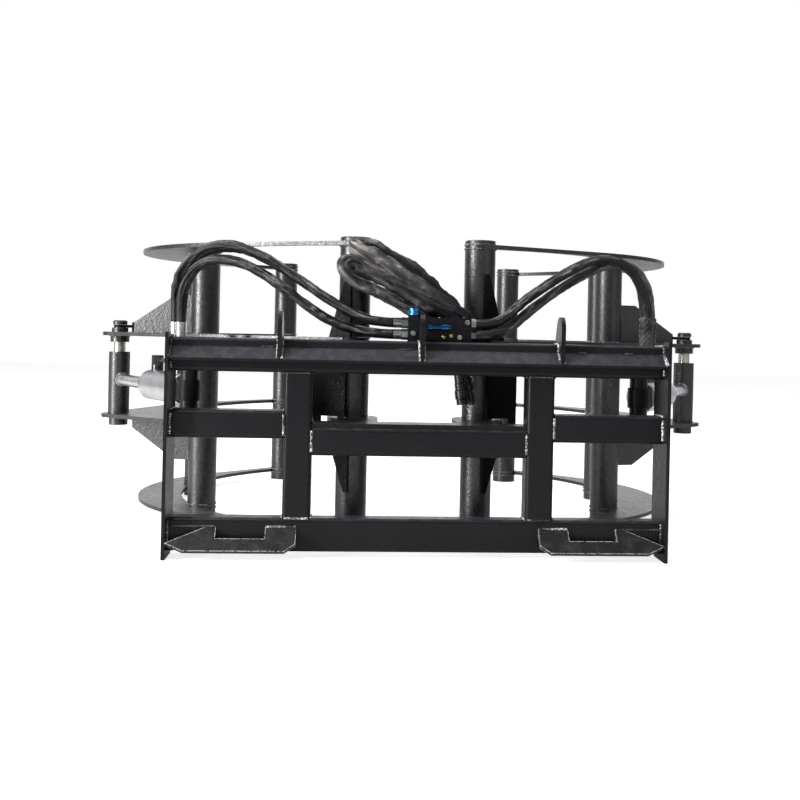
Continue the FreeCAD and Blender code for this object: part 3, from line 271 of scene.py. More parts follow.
def paint(
    name, shade, roughness, gloss=0.2, dust=0.35, edge_wear_and_glint=0.4, grain=0.0003,
    painted_sky_tint=(0.018, 0.021, 0.028), edge=0.0011, chip_and_glint_range=(0.58, 0.66), metal=BARE_STEEL,
    inner_gloss=None,
):
    """Black paint: orange peel, thin dust on upward faces, steel showing at edges, and a painted
    reflection that tints upward faces a lighter navy.

    grain is the depth of the peel. Chips show the edge colour within edge of a sharp edge, where a
    noise passes the chip range: wear to the steel, and on the lock plates a painted glint.
    inner_gloss is the gloss nearer the middle of the part.
    """
    made = Nodes(bpy.data.materials.new(name))
    cloud = made.noise(5, 4, 0.6)
    dusty = made.noise(38, 5, 0.65)
    chips = made.noise(190, 4, 0.7)
    specks = made.noise(330, 3, 0.6)
    base = made.mix(made.spread(cloud, 0.35, 0.7), shade, scaled(shade, 1.5))
    # Painted sky reflection: faces that lean upward are tinted a lighter navy.
    base = made.mix(made.upward(0.25, 0.7), base, painted_sky_tint)
    settled = made.spread(dusty, 0.45, 0.75, 0.05 * dust, dust)
    base = made.mix(made.times(made.upward(0.5, 0.95), settled), base, DUST)
    # Wear to the steel at sharp edges; on the lock plates the same mask paints a bright glint.
    wear_and_painted_glints = made.times(made.edges(edge, 0.88, 0.999), made.spread(chips, *chip_and_glint_range, 0.0, edge_wear_and_glint))
    if inner_gloss is not None:
        from_middle = made.math("ABSOLUTE", made.sideways())
        gloss = made.spread(from_middle, 0.30, 0.45, inner_gloss, gloss)
    patches = made.spread(made.noise(60, 4, 0.6), 0.3, 0.75, roughness - 0.06, roughness + 0.08)
    uneven = made.math("ADD", patches, made.spread(specks, 0.40, 0.64, -0.08, 0.14))
    made.surface(made.mix(wear_and_painted_glints, base, metal), uneven, gloss)
    peel = made.bump(made.noise(150, 3, 0.6), grain)
    made.bump(made.noise(900, 1), 0.00005, 0.35, peel)
    return made.owner


def weld_paint(name, shade, glint):
    """Thin black paint over weld beads, with painted glints: dots of bright steel colour, by share glint."""
    made = Nodes(bpy.data.materials.new(name))
    dots = made.spread(made.noise(270, 3, 0.65), 0.47, 0.56)
    patches = made.spread(made.noise(16, 3, 0.6), 0.40, 0.56)
    # Painted glints: bright dots where the light would catch the bead's ripples.
    wear_and_painted_glints = made.times(made.times(dots, patches), glint)
    made.surface(made.mix(wear_and_painted_glints, shade, (0.80, 0.80, 0.79)), made.spread(dots, 0.0, 1.0, 0.30, 0.18))
    made.bump(made.noise(500, 3, 0.6), 0.0004, 0.8)
    return made.owner


def plated(name, shade, roughness, along=(1, 1, 1), scale=260.0, marked=0.72):
    """Plated or machined steel: fine marks, stretched by along, and patches darker by marked."""
    made = Nodes(bpy.data.materials.new(name))
    marks = made.noise(scale, 5, 0.65, made.stretched(along))
    tone = made.spread(made.noise(30, 4, 0.6), 0.35, 0.7)
    uneven = made.spread(marks, 0.3, 0.7, roughness - 0.07, roughness + 0.1)
    made.surface(made.mix(tone, shade, scaled(shade, marked)), uneven, metallic=1.0)
    made.bump(marks, 0.00004, 0.5)
    return made.owner


def fittings(name, change_height):
    """Port fittings: blackened nuts below a height above the floor, bright ferrules over it."""
    made = Nodes(bpy.data.materials.new(name))
    marks = made.noise(300, 4, 0.6)
    change = change_height + FLOOR
    bright = made.spread(made.height(), change - 0.001, change + 0.001)
    color = made.mix(bright, (0.07, 0.07, 0.075), (0.70, 0.71, 0.73))
    made.surface(color, made.spread(marks, 0.3, 0.7, 0.18, 0.36), metallic=1.0)
    made.bump(marks, 0.00006, 0.5)
    return made.owner


def sleeve(name, shade, pale, above=(-0.15, 0.65), painted_shade_across=None, painted_fold_shade=True):
    """Woven nylon over a hose: a fine diagonal weave, and pale patches by the share given, partly
    rubbed nylon and partly a painted sheen, as they show only on faces that lean upward and on
    the ridges of the folds.

    above is the range of upward lean over which the painted sheen grows. Painted shade darkens the
    sleeve and its sheen towards +x over a given range of x. Painted shade also darkens the folds
    that a sleeved hose's mesh carries, unless that is turned off.
    """
    made = Nodes(bpy.data.materials.new(name))
    uv = made.add("ShaderNodeUVMap").outputs["UV"]
    waves = []
    for angle in (0.82, -0.82):
        turned = made.add("ShaderNodeMapping", Vector=uv, Rotation=(0, 0, angle))
        wave = made.add("ShaderNodeTexWave", Vector=turned.outputs["Vector"], Scale=95)
        waves.append(wave.outputs["Fac"])
    weave = made.math("MAXIMUM", *waves)
    fuzz = made.noise(240, 5, 0.7)
    rubbed = made.spread(made.noise(17, 4, 0.65), 0.36, 0.60)
    streaks = made.noise(1.0, 4, 0.65, made.stretched((300, 26, 1), uv))
    shaded = made.mix(made.spread(weave, 0.35, 0.95), scaled(shade, 0.35), shade)
    where = made.times(rubbed, made.spread(fuzz, 0.36, 0.62, 0.35, 1.0))
    where = made.times(where, made.spread(streaks, 0.42, 0.60, 0.10, 1.0))
    # Painted sheen: only faces that lean upward, over the range above, take the pale colour.
    where = made.times(where, made.upward(*above))
    if painted_fold_shade:
        fold = made.add("ShaderNodeAttribute")
        fold.attribute_name = "fold"
        depth = fold.outputs["Fac"]
        # Painted shade in the fold valleys; the painted sheen keeps to the ridges.
        shaded = made.mix(made.spread(depth, 0.35, 0.62), scaled(shade, 0.2), shaded)
        where = made.times(where, made.spread(depth, 0.45, 0.72, 0.05, 1.0))
    if painted_shade_across:
        # Painted shade: the sleeve and its sheen darken towards +x, away from the light.
        share = made.spread(made.sideways(), *painted_shade_across, 1.0, 0.0)
        shaded = made.mix(share, scaled(shade, 0.16), shaded)
        where = made.times(where, made.spread(share, 0.0, 1.0, 0.12, 1.0))
    # The pale colour of the rubbed patches and the painted sheen.
    color = made.mix(made.times(where, pale), shaded, (0.60, 0.585, 0.57))
    made.surface(color, made.spread(fuzz, 0.3, 0.7, 0.34, 0.60), 0.35)
    woven = made.bump(weave, 0.0005, 0.7)
    made.bump(fuzz, 0.0007, 0.7, woven)
    return made.owner


BLACK = paint("black_frame_paint", (0.0055, 0.0057, 0.0068), 0.34, grain=0.0002)
# The lock plates' sharp edges carry a painted glint: bright steel colour all along them, standing in for the
# light that catches the edges. Their upward faces take a painted sky reflection, lighter than the paint.
LOCK_BLACK = paint(
    "black_lock_plate_paint", (0.0075, 0.0075, 0.0080), 0.36, gloss=0.3, grain=0.0002, edge_wear_and_glint=1.0,
    painted_sky_tint=(0.0120, 0.0120, 0.0130), edge=0.0030, chip_and_glint_range=(0.42, 0.50), metal=PAINTED_GLINT_STEEL,
)
DULL_BLACK = paint("dull_black_paint", (0.0040, 0.0040, 0.0050), 0.45, gloss=0.12)
ARM_BLACK = paint(
    "black_arm_paint", (0.0030, 0.0030, 0.0045), 0.36, gloss=0.85, dust=0.7, grain=0.0008
)
GUSSET_BLACK = paint(
    "black_gusset_paint", (0.0030, 0.0030, 0.0045), 0.36, gloss=0.85, dust=0.5, grain=0.0008,
    inner_gloss=0.1,
)
BLOCK = paint("valve_block_paint", (0.005, 0.005, 0.008), 0.34, dust=0.2)
# Weld paints: glint is the share of painted glints, bright dots standing in for the light catching the
# beads.
BEAD_BLACK = weld_paint("black_weld_paint", (0.020, 0.020, 0.022), 1.0)
ARM_BEAD = weld_paint("black_arm_weld_paint", (0.016, 0.016, 0.018), 0.40)
DARK_BEAD = weld_paint("black_plain_weld_paint", (0.012, 0.012, 0.014), 0.10)
ZINC = plated("zinc_plate", (0.66, 0.67, 0.68), 0.27)
NUTS = plated("plated_nuts", (0.42, 0.45, 0.43), 0.30, marked=0.4)
PIN = plated("yellow_zinc_pin", (0.68, 0.66, 0.58), 0.30, marked=0.5)
CHROME = plated("hard_chrome", (0.84, 0.85, 0.87), 0.30, scale=500.0)
BARREL = plated(
    "brushed_barrel", (0.62, 0.63, 0.64), 0.36, along=(1, 1, 9), scale=150.0, marked=0.82
)
BRONZE = plated("bronze_bush", (0.52, 0.36, 0.18), 0.35)
DARK_STEEL = plated("blackened_steel", (0.055, 0.055, 0.06), 0.25, marked=0.4)
# The blue of the valve cap and line fitting is a painted sky reflection, standing in for the sky reflected
# in their dark metal.
BLUE = plated("blue_painted_sky_reflection", (0.06, 0.30, 0.80), 0.30)
DARK_BLUE = plated("dark_blue_painted_sky_reflection", (0.03, 0.13, 0.33), 0.22, marked=0.4)
BRASS = plated("brass", (0.75, 0.55, 0.20), 0.25)
PORTS = fittings("port_fittings_steel", 0.468)
# Sleeves with a painted sheen on upward faces and painted shade in their folds.
SLEEVE = sleeve("woven_sleeve", (0.006, 0.006, 0.007), 0.85)
# The feed hoses' sleeves: painted shade darkens them towards +x, and their painted sheen reaches well down
# their sides.
FEED_SLEEVE = sleeve(
    "woven_feed_sleeve", (0.085, 0.081, 0.082), 1.0, above=(-0.7, 0.4), painted_shade_across=(-0.13, 0.03)
)
# A lighter sleeve for the right cylinder's far hose, whose painted sheen reaches nearly to its underside.
PALE_SLEEVE = sleeve("pale_sleeve", (0.095, 0.093, 0.093), 1.0, above=(-0.9, 0.2))
# The braids' painted sheen covers all but their downward faces.
BRAID = sleeve("open_braid", (0.009, 0.009, 0.009), 0.45, above=(-1.2, -0.3), painted_fold_shade=False)

# By the start of a node's name. The first that fits is taken.
NODE_LOOKS = {
    "rod_pin": PIN, "port_fittings": PORTS, "manifold_fittings": NUTS, "gland": ZINC,
    "piston_rod": CHROME, "barrel": BARREL, "pivot_bushes": BRONZE, "feed_couplers": DARK_STEEL,
    "manifold": BLOCK, "lock_plates": LOCK_BLACK, "gussets": GUSSET_BLACK,
    "cylinder_base": DULL_BLACK, "base_pins": DULL_BLACK, "cylinder_lugs": DULL_BLACK,
    "pin_keeper": DULL_BLACK,
}


def look_of(name, thing):
    """A node's material: by its name, or else the paint of the frame or of the arms."""
    for start, material in NODE_LOOKS.items():
        if name.startswith(start):
            return material
    return BLACK if body_of(thing)[0] == "frame" else ARM_BLACK


for name, thing in frame["nodes"].items():
    thing.data.materials.clear()
    thing.data.materials.append(look_of(name, thing))


# Ways to make a piece

def piece(name, made, material, body, smooth=True):
    """Turns a bmesh into a shown piece, which rides on a body if one is given."""
    mesh = bpy.data.meshes.new(name)
    made.to_mesh(mesh)
    made.free()
    for face in mesh.polygons:
        face.use_smooth = smooth
    thing = bpy.data.objects.new(name, mesh)
    bpy.context.scene.collection.objects.link(thing)
    thing.data.materials.append(material)
    if body:
        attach(thing, body)
    return thing


def around(count):
    """Angles evenly around a circle."""
    return [2 * math.pi * index / count for index in range(count)]


def skin(made, rings, closed=False, weave=None):
    """Faces between rings of vertices, with flat ends unless the last ring joins the first.

    weave is a UV layer, the girth that goes round a ring and the length reached at each ring.
    """
    sides = len(rings[0])
    pairs = list(zip(rings, rings[1:]))
    if closed:
        pairs.append((rings[-1], rings[0]))
    for row, (first, second) in enumerate(pairs):
        for index in range(sides):
            following = (index + 1) % sides
            corners = (first[index], first[following], second[following], second[index])
            face = made.faces.new(corners)
            if weave:
                layer, girth, lengths = weave
                steps = ((index, row), (index + 1, row), (index + 1, row + 1), (index, row + 1))
                for loop, (turn, place) in zip(face.loops, steps):
                    loop[layer].uv = (turn / sides * girth, lengths[place])
    if not closed:
        made.faces.new(rings[0][::-1])
        made.faces.new(rings[-1])


def frames_along(line):
    """(point, across, up) frames along a line, turned as little as possible."""
    last = len(line) - 1
    tangents = [
        (line[min(index + 1, last)] - line[max(index - 1, 0)]).normalized()
        for index in range(len(line))
    ]
    across = tangents[0].orthogonal().normalized()
    found = []
    for point, tangent in zip(line, tangents):
        across = (across - tangent * across.dot(tangent)).normalized()
        found.append((point, across, tangent.cross(across)))
    return found


# Hoses

# Route points, the same as in the part, as control points of a NURBS line of order 3. Each
# cylinder hose runs from the cylinder to the valve block.
CYLINDER_HOSES = {
    "hose_left_far": [
        (-0.5906, 0.2168, 0.529), (-0.5906, 0.2168, 0.585), (-0.580, 0.205, 0.644),
        (-0.545, 0.186, 0.690), (-0.494, 0.166, 0.713), (-0.438, 0.148, 0.714),
        (-0.384, 0.134, 0.694), (-0.326, 0.120, 0.661), (-0.264, 0.105, 0.621),
        (-0.198, 0.087, 0.577), (-0.120, 0.068, 0.538), (-0.064, 0.068, 0.538),
    ],
    "hose_left_base": [
        (-0.5717, 0.1838, 0.529), (-0.5717, 0.1838, 0.585), (-0.558, 0.174, 0.634),
        (-0.526, 0.161, 0.670), (-0.482, 0.148, 0.683), (-0.434, 0.136, 0.677),
        (-0.384, 0.124, 0.654), (-0.330, 0.112, 0.620), (-0.272, 0.098, 0.577),
        (-0.206, 0.084, 0.534), (-0.120, 0.068, 0.511), (-0.064, 0.068, 0.511),
    ],
    "hose_right_base": [
        (0.5717, 0.1838, 0.529), (0.5717, 0.1838, 0.585), (0.552, 0.168, 0.646),
        (0.519, 0.152, 0.684), (0.474, 0.136, 0.703), (0.424, 0.124, 0.702),
        (0.368, 0.111, 0.677), (0.307, 0.098, 0.639), (0.248, 0.086, 0.598),
        (0.186, 0.068, 0.538), (0.130, 0.068, 0.538),
    ],
    "hose_right_far": [
        (0.5906, 0.2168, 0.529), (0.5906, 0.2168, 0.585), (0.577, 0.200, 0.642),
        (0.545, 0.184, 0.680), (0.499, 0.171, 0.699), (0.447, 0.158, 0.689),
        (0.390, 0.144, 0.659), (0.329, 0.130, 0.621), (0.266, 0.112, 0.574),
        (0.186, 0.068, 0.511), (0.130, 0.068, 0.511),
    ],
}
FEED_HOSES = {
    "feed_hose_upper": [
        (0.082, 0.062, 0.572), (0.047, 0.060, 0.589), (0.006, 0.060, 0.611),
        (-0.036, 0.062, 0.638), (-0.079, 0.062, 0.664), (-0.117, 0.062, 0.685),
        (-0.146, 0.062, 0.702), (-0.163, 0.088, 0.716), (-0.140, 0.116, 0.722),
        (-0.088, 0.114, 0.700), (-0.040, 0.118, 0.672), (0.003, 0.126, 0.641),
        (0.040, 0.133, 0.610), (0.074, 0.138, 0.582), (0.097, 0.140, 0.552),
        (0.097, 0.140, 0.516), (0.093, 0.138, 0.482), (0.108, 0.136, 0.448),
        (0.116, 0.134, 0.415),
    ],
    "feed_hose_lower": [
        (0.050, 0.104, 0.536), (0.010, 0.103, 0.556), (-0.040, 0.100, 0.582),
        (-0.086, 0.088, 0.604), (-0.127, 0.074, 0.620), (-0.165, 0.066, 0.637),
        (-0.187, 0.086, 0.666), (-0.168, 0.110, 0.686), (-0.125, 0.115, 0.667),
        (-0.077, 0.112, 0.642), (-0.029, 0.108, 0.617), (0.017, 0.106, 0.594),
        (0.060, 0.106, 0.573), (0.098, 0.107, 0.547), (0.103, 0.107, 0.512),
        (0.096, 0.106, 0.480), (0.094, 0.105, 0.449), (0.098, 0.104, 0.418),
    ],
}
SLEEVE_WIDTH = 0.031
SLEEVE_THICKNESS = 0.021
FEED_WIDTH = 0.052
FEED_THICKNESS = 0.027
FEED_CRUMPLE = 1.25
END_RADIUS = 0.0115
END_TAPER = 0.065
TIGHT_BEND = 0.030
BEND_REACH = 6
SLEEVE_SIDES = 40


def centerline(name, points):
    """Points along the smooth line of a hose's route."""
    curve = bpy.data.curves.new(f"{name}_route", "CURVE")
    curve.dimensions = "3D"
    spline = curve.splines.new("NURBS")
    spline.points.add(len(points) - 1)
    for target, place in zip(spline.points, points):
        target.co = (*above_floor(*place), 1)
    spline.order_u = 3
    spline.use_endpoint_u = True
    spline.resolution_u = 18
    carrier = bpy.data.objects.new(f"{name}_route", curve)
    line = bpy.data.meshes.new_from_object(carrier)
    read = [vertex.co.copy() for vertex in line.vertices]
    bpy.data.objects.remove(carrier)
    bpy.data.meshes.remove(line)
    return read


def bends(line):
    """How tightly a line turns at each point: 0 straight, 1 at the tight bend's radius or less."""
    last = len(line) - 1
    found = []
    for index in range(len(line)):
        before, here, after = (
            line[min(max(index + step, 0), last)] for step in (-BEND_REACH, 0, BEND_REACH)
        )
        inside = BEND_REACH <= index < len(line) - BEND_REACH
        turn = (here - before).angle(after - here, 0.0) if inside else 0.0
        found.append(min(1.0, 2 * turn / (after - before).length * TIGHT_BEND))
    return found


def ridge(place):
    """1 on sharp winding lines, falling off between them."""
    return 1 - 2 * abs(noise.noise(place))


def cloth(turn, run, seed):
    """The loose cloth's long folds, crosswise creases and fine ripple at a place on a sleeve."""
    x, y = math.cos(turn), math.sin(turn)
    fold = ridge(Vector((x * 1.5 + seed, y * 1.5, run * 11)))
    crease = ridge(Vector((x * 1.9, y * 1.9 - seed, run * 34)))
    ripple = noise.noise(Vector((x * 4, y * 4 + seed, run * 130)))
    return fold, crease, ripple


def sleeved_hose(name, points, width, thickness, seed, crumple=1.0):
    """A tube with a loose woven sleeve, flattened and slowly turning. Its ends are round."""
    line = centerline(name, points)
    made = bmesh.new()
    uv_layer = made.loops.layers.uv.new("weave")
    depth = made.verts.layers.float.new("fold")
    lengths = [0.0]
    for first, second in zip(line, line[1:]):
        lengths.append(lengths[-1] + (second - first).length)
    total = lengths[-1]
    rings = []
    for (point, across, up), run, pinch in zip(frames_along(line), lengths, bends(line)):
        loose = min(1.0, min(run, total - run) / END_TAPER) * (1 - 0.45 * pinch)
        lean = 0.9 * noise.noise(Vector((run * 4.5, seed, 0.5))) + seed
        swelling = 1 + 0.26 * noise.noise(Vector((run * 14, seed, 9)))
        half_width = END_RADIUS + loose * (width / 2 * swelling - END_RADIUS)
        half_thick = END_RADIUS + loose * (thickness / 2 - END_RADIUS)
        ring = []
        for turn in around(SLEEVE_SIDES):
            direction = across * math.cos(turn) + up * math.sin(turn)
            oval = 1 / math.hypot(
                math.cos(turn - lean) / half_width, math.sin(turn - lean) / half_thick
            )
            fold, crease, ripple = cloth(turn, run, seed)
            rumple = 0.24 * (fold - 0.55) + 0.13 * (crease - 0.6) + 0.04 * ripple
            swell = 1 + loose * crumple * rumple
            ring.append(made.verts.new(point + direction * oval * swell))
            # The fold value paints shade into the sleeve's valleys and keeps its painted sheen to the
            # ridges.
            ring[-1][depth] = 0.6 * fold + 0.4 * crease
        rings.append(ring)
    skin(made, rings, weave=(uv_layer, math.pi * width, lengths))
    return made, line, total


for number, (name, points) in enumerate(CYLINDER_HOSES.items()):
    made, line, total = sleeved_hose(name, points, SLEEVE_WIDTH, SLEEVE_THICKNESS, 3.7 * number)
    side = "right" if "right" in name else "left"
    material = PALE_SLEEVE if name == "hose_right_far" else SLEEVE
    hose = piece(f"sleeved_{name}", made, material, None)
    start = line[-1].lerp(line[0], 0.45)
    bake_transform(hose, "frame", f"barrel_{side}", start=start, end=line[0] + Vector((0, 0, 0.02)))
    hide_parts(name)

for number, (name, points) in enumerate(FEED_HOSES.items()):
    seed = 11.3 + 5.1 * number
    made, line, total = sleeved_hose(name, points, FEED_WIDTH, FEED_THICKNESS, seed, FEED_CRUMPLE)
    hose = piece(f"sleeved_{name}", made, FEED_SLEEVE, "frame")
    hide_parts(name)


# Open braids over the lower ends of the right cylinder's hoses

BRAID_FOOT = 0.488
BRAID_LENGTH = 0.078
BRAID_RADIUS = 0.0144
BRAID_ROWS = 44
BRAID_SIDES = 36
BRAID_PITCH = 230
BRAID_GIRTH = 0.1
BRAID_ROW_LENGTH = 0.0028

for name in ("hose_right_base", "hose_right_far"):
    x, y, _ = CYLINDER_HOSES[name][0]
    made = bmesh.new()
    uv_layer = made.loops.layers.uv.new("weave")
    rings = []
    for row in range(BRAID_ROWS):
        height = BRAID_FOOT + BRAID_LENGTH * row / (BRAID_ROWS - 1)
        twist = height * BRAID_PITCH
        ring = []
        for turn in around(BRAID_SIDES):
            braid = abs(math.sin(4 * turn + twist)) * abs(math.sin(4 * turn - twist))
            loose = noise.noise(Vector((math.cos(turn) * 2, math.sin(turn) * 2 + x, height * 60)))
            raised = 0.0030 * braid + 0.0016 * loose if 1 < row < BRAID_ROWS - 2 else 0
            radius = BRAID_RADIUS + raised
            point = above_floor(x + radius * math.cos(turn), y + radius * math.sin(turn), height)
            ring.append(made.verts.new(point))
        rings.append(ring)
    lengths = [row * BRAID_ROW_LENGTH for row in range(BRAID_ROWS)]
    skin(made, rings, weave=(uv_layer, BRAID_GIRTH, lengths))
    piece(f"braided_end_{name}", made, BRAID, "barrel_right")


# Weld beads

BEAD_SPACING = 0.0022
BEAD_SIDES = 7
RING_SPACING = 0.006


def bead(made, points, radius, seed=0.0, closed=False):
    """A rippled weld bead along a line of points."""
    line = []
    ends = points + [points[0]] if closed else points
    for first, second in zip(ends, ends[1:]):
        steps = max(1, round((second - first).length / BEAD_SPACING))
        line += [first.lerp(second, step / steps) for step in range(steps)]
    if not closed:
        line.append(ends[-1])
    rings = []
    for count, (point, across, up) in enumerate(frames_along(line)):
        wave = 0.24 * abs(math.sin(count * 0.95 + seed))
        ripple = 0.80 + wave + 0.18 * noise.noise(point * 90)
        ring = []
        for turn in around(BEAD_SIDES):
            direction = across * math.cos(turn) + up * math.sin(turn)
            ring.append(made.verts.new(point + direction * radius * ripple))
        rings.append(ring)
    skin(made, rings, closed)


def ring_bead(made, center, radius, thickness, seed, normal=UPWARD):
    """A weld bead around a tube or pin."""
    turned = Vector(normal).to_track_quat("Z", "Y")
    points = [
        center + turned @ Vector((radius * math.cos(turn), radius * math.sin(turn), 0))
        for turn in around(max(24, round(2 * math.pi * radius / RING_SPACING)))
    ]
    bead(made, points, thickness, seed, closed=True)


def seam(made, start, stop, radius, seed):
    """A straight weld bead between two points given above the floor."""
    bead(made, [above_floor(*start), above_floor(*stop)], radius, seed)


def upright(made, x, y, bottom, top, radius, seed):
    seam(made, (x, y, bottom), (x, y, top), radius, seed)


def forward(made, x, rear, front, z, radius, seed):
    seam(made, (x, rear, z), (x, front, z), radius, seed)


def crosswise(made, start, stop, y, z, radius, seed):
    seam(made, (start, y, z), (stop, y, z), radius, seed)


# Sizes of the frame, from its middle, its rear face and the floor
HALF_INSIDE = 0.5635
POST = 0.2775
HALF_POST = 0.03175
REAR = 0.0016
BEAM_BOTTOM = 0.419
BEAM_TOP = 0.4952
LIP_BOTTOM = 0.4515
OUTER_RAIL = (0.277, 0.325)
OUTER_RAIL_TOP = 0.3325
CENTER_RAIL = (0.240, 0.288)
CENTER_RAIL_TOP = 0.2955
BOTTOM_RAIL_TOP = 0.0902
LOCK_PLATE_TOP = 0.0712
LUG = 0.541
LUG_SEAM = (0.523, 0.559)
RIBS = (-0.320, 0.0, 0.320)
PLATE_FACES = (-0.0052, 0.0052)  # beads at both faces of an upright plate, from its middle

# Welds in beads carry painted glints, those in dark_beads next to none: which weld goes in which follows
# where the light catches the welds.
beads = bmesh.new()
dark_beads = bmesh.new()
for side in (1, -1):
    inner, outer, end = side * (POST - HALF_POST), side * (POST + HALF_POST), side * HALF_INSIDE
    near, far = side * (POST - HALF_POST + 0.005), side * (POST + HALF_POST - 0.005)
    for x in (inner, outer):
        forward(dark_beads, x, 0.006, 0.058, BEAM_BOTTOM, 0.0034, x)
        forward(beads, x, 0.006, 0.046, BOTTOM_RAIL_TOP, 0.0034, x)
    crosswise(dark_beads, near, far, REAR, BEAM_BOTTOM + 0.0002, 0.0028, 1.0)
    crosswise(beads, near, far, REAR, BOTTOM_RAIL_TOP, 0.0032, 2.0)
    upright(beads, inner, REAR, *CENTER_RAIL, 0.0036, 3.0)
    forward(beads, inner, 0.008, 0.056, CENTER_RAIL_TOP, 0.0034, 4.0)
    upright(beads, outer, REAR, *OUTER_RAIL, 0.0036, 5.0)
    forward(beads, outer, 0.008, 0.056, OUTER_RAIL_TOP, 0.0034, 6.0)
    upright(beads, end, REAR, *OUTER_RAIL, 0.0045, 7.0)
    forward(beads, end, 0.004, 0.060, OUTER_RAIL_TOP, 0.0036, 8.0)
    # At the right end the welds are bigger and carry painted glints, to match the bright glint there; at the
    # left end they are smaller and plain.
    end_beads, size = (beads, 0.0062) if side == 1 else (dark_beads, 0.0042)
    seam(end_beads, (end, -0.0285, LIP_BOTTOM), (end, -0.002, 0.475), size, 9.0)
    upright(end_beads, end, REAR, 0.478, 0.4936, size, 9.5)
    forward(end_beads, end, 0.004, 0.070, BEAM_TOP, 0.0034, 10.0)
    upright(beads, end, REAR, 0.425, 0.441, 0.0034, 11.0)
    upright(beads, end, REAR, 0.024, 0.084, 0.0036, 12.0)
    # The inner stretch carries painted glints; the outer one stays plain.
    stretches = ((beads, 0.276, 0.343), (dark_beads, 0.457, HALF_INSIDE - 0.004))
    for kind, start, stop in stretches:
        crosswise(kind, side * start, side * stop, -0.001, LOCK_PLATE_TOP, 0.003, start)
    for x in (LUG - 0.020, LUG + 0.020):
        upright(beads, side * x, 0.0775, 0.430, 0.442, 0.003, x)
    first, last = (side * x for x in LUG_SEAM)
    crosswise(beads, first, last, 0.0774, 0.442, 0.003, 13.0)
    crosswise(beads, first, last, 0.0648, 0.312, 0.003, 14.0)
for rib in RIBS:
    for face in PLATE_FACES:
        x = rib + face
        seam(beads, (x, -0.0295, LIP_BOTTOM), (x, -0.001, 0.4765), 0.0036, rib)
        upright(beads, x, 0.0, 0.478, 0.494, 0.0032, rib + 1)
        forward(beads, x, 0.002, 0.044, BEAM_TOP + 0.0005, 0.003, rib + 2)
for start, stop in ((-0.36, -0.335), (-0.055, -0.02), (0.36, 0.38), (0.47, 0.49)):
    crosswise(dark_beads, start, stop, -0.0006, 0.4768, 0.0022, start)
piece("frame_weld_beads", beads, BEAD_BLACK, "frame")
piece("frame_dark_beads", dark_beads, DARK_BEAD, "frame")

TUBE_BEAD_LIFT = 0.0004
PIN_BOSS_RADIUS = 0.0255
GUSSETS = ((PLATE_HEIGHTS["upper"] + PLATE, 0.106), (PLATE_HEIGHTS["lower"], -0.111))  # foot, rise
GUSSET_REACH = 0.208
THRUST_FACES = (("lower", True), ("upper", False))  # (plate, is it its top?), with no bead there

for name, side in SIDES:
    beads = bmesh.new()
    for tube, (x, y) in TUBES.items():
        for level, bottom in PLATE_HEIGHTS.items():
            for face, lift in ((bottom, -TUBE_BEAD_LIFT), (bottom + PLATE, TUBE_BEAD_LIFT)):
                if tube == "pivot" and (level, lift > 0) in THRUST_FACES:
                    continue
                center = above_floor(side * x, y, face + lift)
                ring_bead(beads, center, TUBE_RADIUS + 0.0010, 0.0021, x + face)
        # A weld round the tube's top edge, which carries painted glints.
        top = above_floor(side * x, y, TUBE_TOP)
        ring_bead(beads, top, TUBE_RADIUS - 0.0012, 0.0018, x)
    x, y = TUBES["rear"]
    outward = Vector((side * (ROD_PIN.x - x), ROD_PIN.y - y, 0)).normalized()
    across = Vector((-outward.y, outward.x, 0))
    for foot, rise in GUSSETS:
        for face in PLATE_FACES:
            middle = Vector((side * x, y, 0)) + across * face
            base = Vector((0, 0, foot + FLOOR + math.copysign(0.0012, rise)))
            run = [middle + base + outward * reach for reach in (0.044, GUSSET_REACH - 0.004)]
            bead(beads, run, 0.0028, face)
            root = middle + outward * (TUBE_RADIUS + 0.0015)
            tip = root + Vector((0, 0, foot + rise * 0.96 + FLOOR))
            bead(beads, [root + base, tip], 0.003, face + foot)
    for level in ("upper", "lower"):
        height = PLATE_HEIGHTS[level]
        center = above_floor(side * ROD_PIN.x, ROD_PIN.y, height - 0.0005)
        ring_bead(beads, center, PIN_BOSS_RADIUS + 0.0012, 0.0026, height)
    piece(f"arm_weld_beads_{name}", beads, ARM_BEAD, f"arm_{name}")

    beads = bmesh.new()
    axis = cylinder_axis(side)
    rod_end = mirrored(ROD_PIN, side) - axis * 0.0268
    ring_bead(beads, rod_end, 0.0172, 0.0026, 1.0, axis)
    piece(f"rod_weld_bead_{name}", beads, BEAD_BLACK, f"rod_{name}")


# Small turned pieces: on the valve block, on the rod pins and at the barrels' ends

def turned_piece(name, foot, direction, profile, material, body, sides=32):
    """A round piece: the profile is (distance along the direction, radius)."""
    made = bmesh.new()
    turned = Vector(direction).to_track_quat("Z", "Y")
    rings = []
    for along, radius in profile:
        rings.append([
            made.verts.new(
                foot + turned @ Vector((radius * math.cos(turn), radius * math.sin(turn), along))
            )
            for turn in around(sides)
        ])
    skin(made, rings)
    return piece(name, made, material, body, smooth=False)


